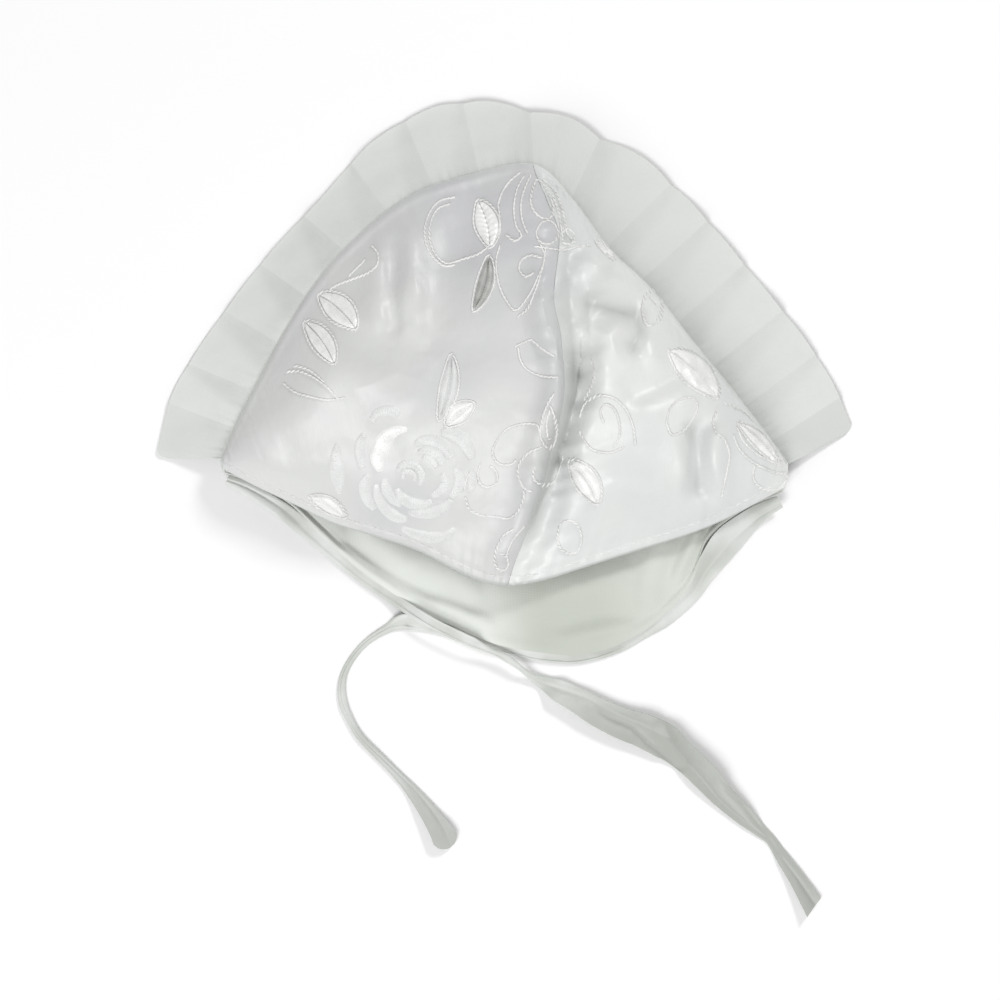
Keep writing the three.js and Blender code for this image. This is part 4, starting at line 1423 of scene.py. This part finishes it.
@dataclass(frozen=True)
class Brim:
    """The pleated brim sewn into the arc seam."""

    form: BonnetForm
    depth: float = 0.6
    columns: int = 760
    rows: int = 34
    seam_allowance: float = 1.6  # how far it goes in under the crown's edge
    cut: Cut = Cut(0.400, 0.027, 0.0100)

    def place(self, u: np.ndarray, v: np.ndarray) -> np.ndarray:
        """Points of the brim's middle.

        Args:
            u: Shares of the way from the left corner to the right one.
            v: Shares of the way from the outer edge to the arc seam.

        Returns:
            The points in the frame.
        """
        points = self.form.brim(u, 1 - v)
        out = 1 - v
        inward = self.form.brim(u, np.zeros_like(u)) - self.form.brim(u, np.ones_like(u))
        inward /= np.linalg.norm(inward[:, :2], axis=1)[:, None]
        points[:, :2] += inward[:, :2] * (self.seam_allowance * (1 - fade(out * 31 / 1.2)))[:, None]
        gathers = 0.25 * ripple(u * 330, 5.0, 0.4) * np.exp(-out * 31 / 6) * fade(out * 31 / 1.5)
        points[:, 2] += gathers + 0.25 * (1 + soft_noise(points[:, 0], points[:, 1], 17, 5.0)) * fade(out / 0.3)
        return to_frame(points)

    def doubled(self, u: np.ndarray, v: np.ndarray) -> np.ndarray:
        """How far the cloth lies double in the pleats.

        Args:
            u: Shares of the way from the left corner to the right one.
            v: Shares of the way from the outer edge to the arc seam.

        Returns:
            Shares from 0 to 1.
        """
        back = self.form.pleat_inward(u) / PLEATS[:, 1]
        reach = (0.3 + 0.4 * (1 - v))[:, None]
        return np.where(back < 0, 0, 1 - fade((back - reach) / 0.3)).max(1)

    def build(self) -> None:
        """Makes the brim, and dresses it."""
        piece = grid_piece("pleated_brim", self.columns, self.rows, self.place, self.doubled)
        thicken(piece, self.depth, 0.0)
        dress(piece, BRIM_COTTON.build())
        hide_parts("brim")


@dataclass(frozen=True)
class SatinBand:
    """A padded band of satin stitch along a line, in millimetres on the plan."""

    name: str
    points: tuple[tuple[float, float], ...]
    widths: tuple[float, ...]
    height: float = 0.75
    stitch_pitch: float = 0.9
    vein: float = 0.0
    spread: float = 2.2

    def piece(self, drape: Drape) -> bpy.types.Object:
        """Makes the band on the satin.

        Args:
            drape: The satin under it.

        Returns:
            The band.
        """
        route = Route(self.points)
        widths = np.array(self.widths) * self.spread

        def place(u: np.ndarray, v: np.ndarray) -> np.ndarray:
            """Points of the band for shares along and across it."""
            across = 2 * v - 1
            way = route.way(u)
            side = np.column_stack((-way[:, 1], way[:, 0]))
            half = read_even(widths, u) / 2
            points, normals = drape.at(route.at(u)[:, :2] + side * (across * half)[:, None])
            rise = np.sqrt(np.clip(1 - across**2, 0, 1)) * fade(np.minimum(u, 1 - u) / 0.12)
            slant = u * route.length + 0.45 * half * np.abs(across)
            ridge = 0.14 * np.sin(2 * math.pi * slant / self.stitch_pitch) * rise
            groove = self.vein * np.exp(-((across / 0.17) ** 2)) * rise
            return points + normals * ((self.height * rise + ridge - groove - 0.25) * MM)[:, None]

        columns = max(16, int(route.length / 0.26))
        piece = grid_piece(self.name, columns, 12, place)
        thicken(piece, 0.4)
        return piece


class ThreadTone(Enum):
    """Which painted tone of the one white thread a leaf gets: painted sheen, dimmer painted sheen or painted shade."""

    PAINTED_SHEEN = THREAD_PAINTED_SHEEN
    PAINTED_DIM_SHEEN = THREAD_PAINTED_DIM_SHEEN
    SHADED = THREAD_PAINTED_SHADE


@dataclass(frozen=True)
class Leaf:
    """A leaf of satin stitch from its stem to its tip."""

    name: str
    stem: tuple[float, float]
    tip: tuple[float, float]
    width: float
    bend: float = 0.06
    stitch_pitch: float = 0.9
    tone: ThreadTone = ThreadTone.PAINTED_SHEEN

    def spine(self) -> tuple[tuple[float, float], ...]:
        """The leaf's middle line as five points."""
        stem, tip = np.array(self.stem), np.array(self.tip)
        along = tip - stem
        side = np.array((-along[1], along[0])) * self.bend
        shares = np.linspace(0, 1, 5)
        return tuple(tuple(stem + along * s + side * 4 * s * (1 - s)) for s in shares)

    def band(self) -> SatinBand:
        """The leaf as a band with a vein."""
        shares = np.linspace(0, 1, 9)
        widths = self.width * np.sin(math.pi * np.clip(shares, 0.02, 0.98)) ** 0.75
        return SatinBand(self.name, self.spine(), tuple(widths), 1.2, self.stitch_pitch, 1.0, 1.0)

    def rim(self) -> np.ndarray:
        """The line round the leaf on which its outline is stitched."""
        route = Route(self.spine())
        share = np.linspace(0, 1, 40)
        way = route.way(share)
        side = np.column_stack((-way[:, 1], way[:, 0]))
        half = self.width / 2 * np.sin(math.pi * share) ** 0.75 + 0.45
        middle = route.at(share)
        up = middle + side * half[:, None]
        down = (middle - side * half[:, None])[::-1]
        return np.concatenate((up, down, up[:1]))


# Outlines in stem stitch, in millimetres from the middle of the ear line
OUTLINES: tuple[tuple[tuple[float, float], ...], ...] = (
    ((-17.5, 98.3), (-22.8, 96.9), (-26.2, 92.8), (-28.0, 85.8), (-26.2, 78.8), (-21.7, 74.2), (-17.5, 74.2)),  # ring arc outer
    ((-19.2, 95.9), (-23.4, 94.1), (-25.9, 89.2), (-26.2, 83.3), (-24.1, 78.0), (-20.3, 74.9), (-14.7, 76.3)),  # ring arc inner
    ((-14.7, 76.3), (-9.4, 78.0), (-5.2, 81.2), (-2.4, 85.0), (-1.8, 90.3), (-2.4, 95.5)),  # ring stem
    ((-2.4, 95.5), (-1.0, 99.8), (1.8, 103.9), (5.2, 106.8)),  # ring stem upper
    ((-1.8, 80.8), (-3.1, 75.2), (-2.1, 67.2), (0.7, 61.2), (3.8, 58.4), (8.0, 63.0), (11.2, 69.3), (13.6, 76.3), (12.2, 81.2)),  # swirl outer
    ((12.6, 76.3), (8.8, 77.3), (5.6, 75.6), (4.9, 72.4), (7.0, 70.0), (9.8, 71.0)),  # swirl inner
    ((14.0, 79.8), (12.6, 71.8), (10.1, 64.0), (7.7, 58.8), (4.2, 56.0)),  # swirl side
    ((6.6, 105.7), (4.2, 100.8), (3.1, 94.5), (3.8, 88.2), (5.6, 84.3), (3.1, 82.6), (0.3, 84.7)),  # bud left
    ((9.1, 106.4), (7.0, 101.5), (5.6, 96.2), (5.9, 90.3), (7.7, 85.4)),  # bud left inner
    ((9.8, 102.2), (8.8, 96.9), (10.1, 92.8), (13.3, 90.3), (16.1, 91.3), (16.4, 95.9), (14.3, 100.8), (11.5, 104.3), (9.8, 102.2)),  # bud heart
    ((13.3, 104.3), (16.8, 100.8), (18.9, 96.2), (20.3, 91.0), (21.3, 85.8), (24.1, 81.9)),  # bud right
    ((16.1, 99.0), (18.2, 93.8), (19.2, 88.2), (19.9, 84.0)),  # bud right inner
    ((12.6, 88.9), (10.8, 85.4), (12.2, 81.9), (15.7, 81.5), (18.2, 84.3), (17.5, 87.8), (15.0, 89.6), (12.6, 88.9)),  # bud low
    ((19.6, 85.4), (20.3, 81.9), (23.1, 81.9), (23.8, 85.0), (21.7, 86.8), (19.6, 85.4)),  # bud low right
    ((10.1, 80.5), (15.0, 79.8), (19.9, 79.4), (24.8, 80.5), (29.7, 81.2)),  # bud base
    ((4.5, 45.5), (5.2, 41.3), (7.7, 37.8), (12.2, 35.7), (17.8, 35.0)),  # open leaf low
    ((3.5, 45.8), (6.6, 47.2), (9.1, 47.9), (12.6, 45.1), (16.8, 42.3)),  # open leaf high
    ((16.8, 29.4), (14.3, 25.2), (12.6, 19.9), (12.2, 14.7), (14.3, 11.2), (16.8, 12.2), (17.8, 16.8), (16.8, 21.7), (15.7, 25.2)),  # seam loop
    ((15.4, 23.8), (14.3, 19.2), (14.7, 14.7), (16.1, 14.0)),  # seam loop inner
    ((11.9, 16.4), (10.8, 18.9), (5.9, 19.2), (0.7, 17.5), (-2.8, 13.6), (-4.2, 9.4), (-2.4, 5.9), (1.4, 5.2), (3.8, 6.6)),  # petal upper
    ((12.6, 11.2), (8.4, 9.4), (5.2, 5.9), (4.5, 1.8), (6.3, -2.4), (9.1, -4.2)),  # petal mid
    ((9.8, 3.5), (10.1, 0.0), (13.3, -1.8), (16.8, -0.7), (18.9, 3.5), (20.3, 8.4)),  # petal cup
    ((-8.4, 5.6), (-9.4, 2.1), (-8.4, -1.4), (-5.6, -2.4), (-2.8, -0.7), (-3.1, 2.8), (-4.9, 4.9)),  # petal small
    ((-13.6, -5.9), (-12.2, -10.1), (-8.4, -12.2), (-3.5, -12.6), (1.0, -13.3), (4.2, -11.2), (6.3, -7.0), (6.6, -3.5)),  # low petal
    ((-14.0, -3.5), (-13.3, 0.0), (-11.5, 3.5)),  # low petal left
    ((2.8, -17.1), (-0.7, -19.6), (-2.8, -23.8), (-3.5, -28.7), (-1.4, -31.5), (1.0, -30.1), (0.3, -26.6), (-1.8, -25.5)),  # point loop
    ((6.6, -16.1), (2.4, -21.3), (0.3, -26.6)),  # point loop outer
    ((25.9, 21.7), (27.6, 26.2), (32.2, 29.0), (37.4, 28.0), (41.6, 24.1), (44.1, 18.5), (45.1, 12.2)),  # curl outer
    ((33.9, 19.9), (32.9, 23.4), (34.6, 25.9), (37.4, 24.5), (39.2, 20.6), (39.5, 15.4), (37.4, 11.5)),  # curl inner
    ((25.5, 16.8), (29.7, 10.8), (35.7, 9.4), (40.9, 11.2)),  # curl base
    ((55.6, 19.6), (56.7, 24.1), (59.8, 27.3), (64.4, 28.3), (66.5, 25.5), (64.8, 21.0), (61.6, 17.1), (57.7, 15.7), (55.6, 19.6)),  # oval right
    ((18.2, -19.6), (19.2, -15.7), (22.4, -14.0), (25.5, -16.1), (26.6, -20.6), (25.2, -24.8), (22.0, -25.5), (19.2, -23.4), (18.2, -19.6)),  # oval low
    ((80.5, 18.2), (82.6, 13.6), (86.4, 9.8), (91.3, 7.0), (96.9, 4.9)),  # fan a
    ((81.9, 20.6), (84.3, 15.4), (88.5, 11.2), (93.4, 8.0), (98.7, 6.3)),  # fan b
    ((79.1, 15.4), (81.2, 10.8), (85.0, 7.0), (89.9, 4.2), (95.2, 2.4), (99.0, 2.8)),  # fan c
    ((86.8, 4.9), (86.4, 1.0), (88.9, -2.4), (93.1, -3.5), (96.9, -2.1), (98.7, 1.4)),  # fan loop
    ((75.9, 26.6), (79.8, 25.2), (83.6, 23.4), (86.4, 20.6)),  # fan top
    ((73.8, 24.8), (72.1, 20.6), (73.1, 16.4), (75.9, 13.6), (77.7, 8.8), (77.0, 3.5), (75.9, -1.8), (75.2, -6.3)),  # stalk right
    ((-75.9, 37.4), (-71.0, 37.4), (-65.5, 35.0), (-60.9, 31.5), (-57.4, 27.6)),  # faint leaf high
    ((-77.0, 33.6), (-72.8, 30.4), (-67.5, 28.7), (-61.2, 27.6), (-55.3, 28.3)),  # faint leaf low
    ((-73.1, 39.5), (-67.5, 37.8), (-62.6, 33.9)),  # faint leaf vein
    ((-46.5, 81.5), (-44.1, 78.4), (-44.4, 74.2), (-47.9, 71.4), (-52.8, 69.6), (-57.7, 67.9), (-60.9, 66.1)),  # curly a
    ((-48.6, 76.3), (-51.4, 73.5), (-54.2, 70.7)),  # curly b
    ((51.1, 66.5), (48.3, 63.0), (47.6, 57.7), (49.3, 53.5), (52.5, 54.6), (54.6, 59.1), (54.2, 64.0), (51.1, 66.5)),  # eye loop
    ((29.7, 41.3), (30.8, 36.4), (29.4, 31.5), (27.3, 27.6)),  # cuff right
)

LEAVES = (
    Leaf("leaf_pair_high", (-64.8, 64.4), (-51.4, 52.1), 9.1),
    Leaf("leaf_pair_low", (-69.6, 54.9), (-58.8, 39.9), 7.3),
    Leaf("leaf_slender", (-18.5, 43.0), (-22.8, 20.6), 5.6, tone=ThreadTone.PAINTED_DIM_SHEEN),
    Leaf("leaf_bright_small", (-20.3, 18.5), (-10.5, 26.2), 6.3),
    Leaf("leaf_hem", (-67.9, -5.9), (-55.6, -12.9), 4.9),
    Leaf("bud_barred", (-9.4, 97.2), (-5.2, 80.2), 8.2, stitch_pitch=1.8),
    # this leaf's thread carries painted shade, where it turns from the light
    Leaf("leaf_painted_shade", (-5.6, 77.3), (-10.8, 58.1), 5.2, tone=ThreadTone.SHADED),
    Leaf("leaf_seam", (22.4, 6.6), (32.2, -8.4), 7.7),
    Leaf("leaf_great", (56.7, 44.8), (73.8, 28.3), 10.1),
    Leaf("leaf_fan", (81.0, 19.4), (95.0, 5.6), 5.0),
    Leaf("scallop_upper", (31.6, 82.8), (37.6, 76.9), 2.1),
)

# The rose beside the left corner: bands of satin stitch from its edge to its heart
ROSE = (
    SatinBand("embroidered_crescent", ((-32.9, 17.1), (-36.8, 17.1), (-40.6, 14.7), (-43.0, 10.8), (-43.8, 6.6), (-42.7, 2.1)), (1.0, 2.4, 4.2, 4.5, 3.8, 1.4), 1.3, spread=1.45),
    SatinBand("outer_top", ((-23.4, 16.1), (-19.2, 16.1), (-15.4, 14.3), (-12.6, 10.8), (-10.8, 6.3)), (1.0, 2.1, 2.4, 2.1, 1.0)),
    SatinBand("inner_top", ((-31.8, 11.5), (-28.3, 13.6), (-24.1, 13.3), (-20.3, 10.8), (-17.5, 6.6)), (1.0, 1.8, 2.1, 2.1, 1.0)),
    SatinBand("inner_second", ((-30.8, 9.4), (-26.9, 10.1), (-23.4, 8.4), (-20.6, 4.9)), (0.7, 1.8, 2.1, 1.0)),
    SatinBand("heart_petal", ((-29.0, 8.0), (-25.9, 6.6), (-23.8, 3.5)), (1.0, 2.4, 1.4)),
    SatinBand("spiral_outer", ((-37.4, 2.1), (-35.7, 4.9), (-32.2, 5.6), (-29.4, 3.5), (-28.7, 0.3), (-30.4, -2.4)), (0.7, 1.4, 1.4, 1.4, 1.4, 0.7)),
    SatinBand("spiral_inner", ((-35.3, -0.3), (-35.0, 2.4), (-32.9, 3.1), (-31.1, 1.4), (-31.8, -0.7)), (0.7, 1.0, 1.0, 1.0, 0.7)),
    SatinBand("left_inner", ((-41.6, 1.4), (-41.3, -2.8), (-38.8, -6.6), (-35.3, -9.1)), (1.0, 1.8, 1.8, 1.0)),
    SatinBand("lower_outer", ((-44.4, -0.7), (-44.1, -4.9), (-41.6, -9.8), (-37.4, -12.9), (-32.9, -13.6)), (1.0, 1.8, 2.1, 2.1, 1.0)),
    SatinBand("lower_inner", ((-37.8, -2.4), (-36.0, -5.6), (-32.5, -8.0), (-28.3, -8.4), (-24.5, -6.6)), (1.0, 1.8, 2.1, 1.8, 1.0)),
    SatinBand("lower_second", ((-34.3, -10.8), (-30.4, -11.5), (-25.5, -11.2), (-21.0, -9.1), (-17.8, -5.9)), (1.0, 1.8, 2.1, 1.8, 1.0)),
    SatinBand("right_outer", ((-17.5, 4.9), (-15.7, 1.0), (-16.4, -3.1), (-19.2, -6.3)), (1.0, 2.1, 2.1, 1.0)),
    SatinBand("right_inner", ((-22.4, 2.8), (-20.6, -0.7), (-22.4, -3.8), (-25.9, -5.6)), (1.0, 1.8, 1.8, 1.0)),
    SatinBand("edge_right", ((-11.9, 4.2), (-11.2, 0.0), (-12.2, -4.5)), (0.7, 1.8, 1.0)),
    SatinBand("base_petal", ((-36.8, -16.1), (-31.8, -18.5), (-26.2, -19.9), (-21.0, -19.2), (-16.4, -16.4)), (1.0, 1.8, 2.1, 1.8, 1.0)),
    SatinBand("left_outer", ((-46.5, 2.8), (-48.6, -1.4), (-47.6, -6.6), (-44.8, -10.8)), (1.0, 2.1, 2.1, 1.0)),
    SatinBand("left_high", ((-47.9, 16.8), (-50.0, 12.6), (-50.0, 7.7), (-48.6, 3.5)), (1.0, 1.8, 1.8, 1.0)),
    SatinBand("top_left", ((-46.5, 19.6), (-43.8, 22.8), (-39.5, 23.8), (-35.7, 21.7)), (1.0, 1.8, 1.8, 1.0)),
    SatinBand("side_leaf", ((-57.4, 14.0), (-58.4, 8.8), (-58.1, 1.8), (-57.4, -5.9)), (0.7, 2.1, 2.4, 0.7)),
)


@dataclass(frozen=True)
class Embroidery:
    """White embroidery on the satin: a rose, leaves and outlined petals and curls."""

    panels: tuple[bpy.types.Object, ...]
    stitch: Stitch = Stitch(2.5, 0.75, 0.75)
    stitch_step: float = 1.6

    def outline(self, name: str, lines: Sequence[Sequence[Sequence[float]]], drape: Drape) -> bpy.types.Object:
        """Lays stem stitches along lines.

        Args:
            name: The piece's name.
            lines: Lines of points on the plan.
            drape: The satin under them.

        Returns:
            The piece of all the stitches.
        """
        plans, ways = [], []
        turn = math.radians(9)
        slant = np.array(((math.cos(turn), math.sin(turn)), (-math.sin(turn), math.cos(turn))))
        for line in lines:
            route = Route(line)
            count = max(3, round(route.length / self.stitch_step))
            share = (np.arange(count) + 0.5) / count
            plans.append(route.at(share)[:, :2])
            ways.append(route.way(share) @ slant)
        points, normals = drape.at(np.concatenate(plans))
        return self.stitch.lay(name, points + normals * 0.1 * MM, np.concatenate(ways), normals)

    def build(self) -> None:
        """Makes the embroidery, and dresses it."""
        drape = Drape(*self.panels)
        threads = {tone: tone.value.build() for tone in ThreadTone}
        soft = THREAD_PAINTED_SOFT_SHEEN.build()
        # the rose's crescent gets the thread's painted sheen and its petals the dimmer painted sheen
        dress(ROSE[0].piece(drape), threads[ThreadTone.PAINTED_SHEEN])
        petals = [band.piece(drape) for band in ROSE[1:]]
        dress(join("embroidered_rose", petals), threads[ThreadTone.PAINTED_DIM_SHEEN])
        for tone, thread in threads.items():
            leaves = [leaf.band().piece(drape) for leaf in LEAVES if leaf.tone is tone]
            dress(join(f"embroidered_leaves_{tone.name.lower()}", leaves), thread)
        dress(self.outline("embroidered_outlines", OUTLINES, drape), soft)
        rims = [leaf.rim() for leaf in LEAVES]
        dress(self.outline("embroidered_leaf_rims", rims, drape), soft)


def main() -> None:
    """Builds the studio, the ties and the bonnet in order."""
    logging.basicConfig(level=logging.INFO, format="%(message)s")
    Studio().build()
    Tie("ribbon_tie_left", "tie_left", TIE_LEFT, TieEnd.SLANTED, creases=TIE_CREASES).build(TIE_RIBBON.build())
    Tie("ribbon_tie_right", "tie_right", TIE_RIGHT, TieEnd.ROUNDED, turn=0.3, lap_side=-1, lap_to=0.6, lean=0.5).build(TIE_RIBBON_RIGHT.build())
    form = BonnetForm()
    Layers(form).build()
    Brim(form).build()
    crown = Crown(form)
    crown.build()
    Embroidery(tuple(crown.panels)).build()


if __name__ == "__main__":
    main()
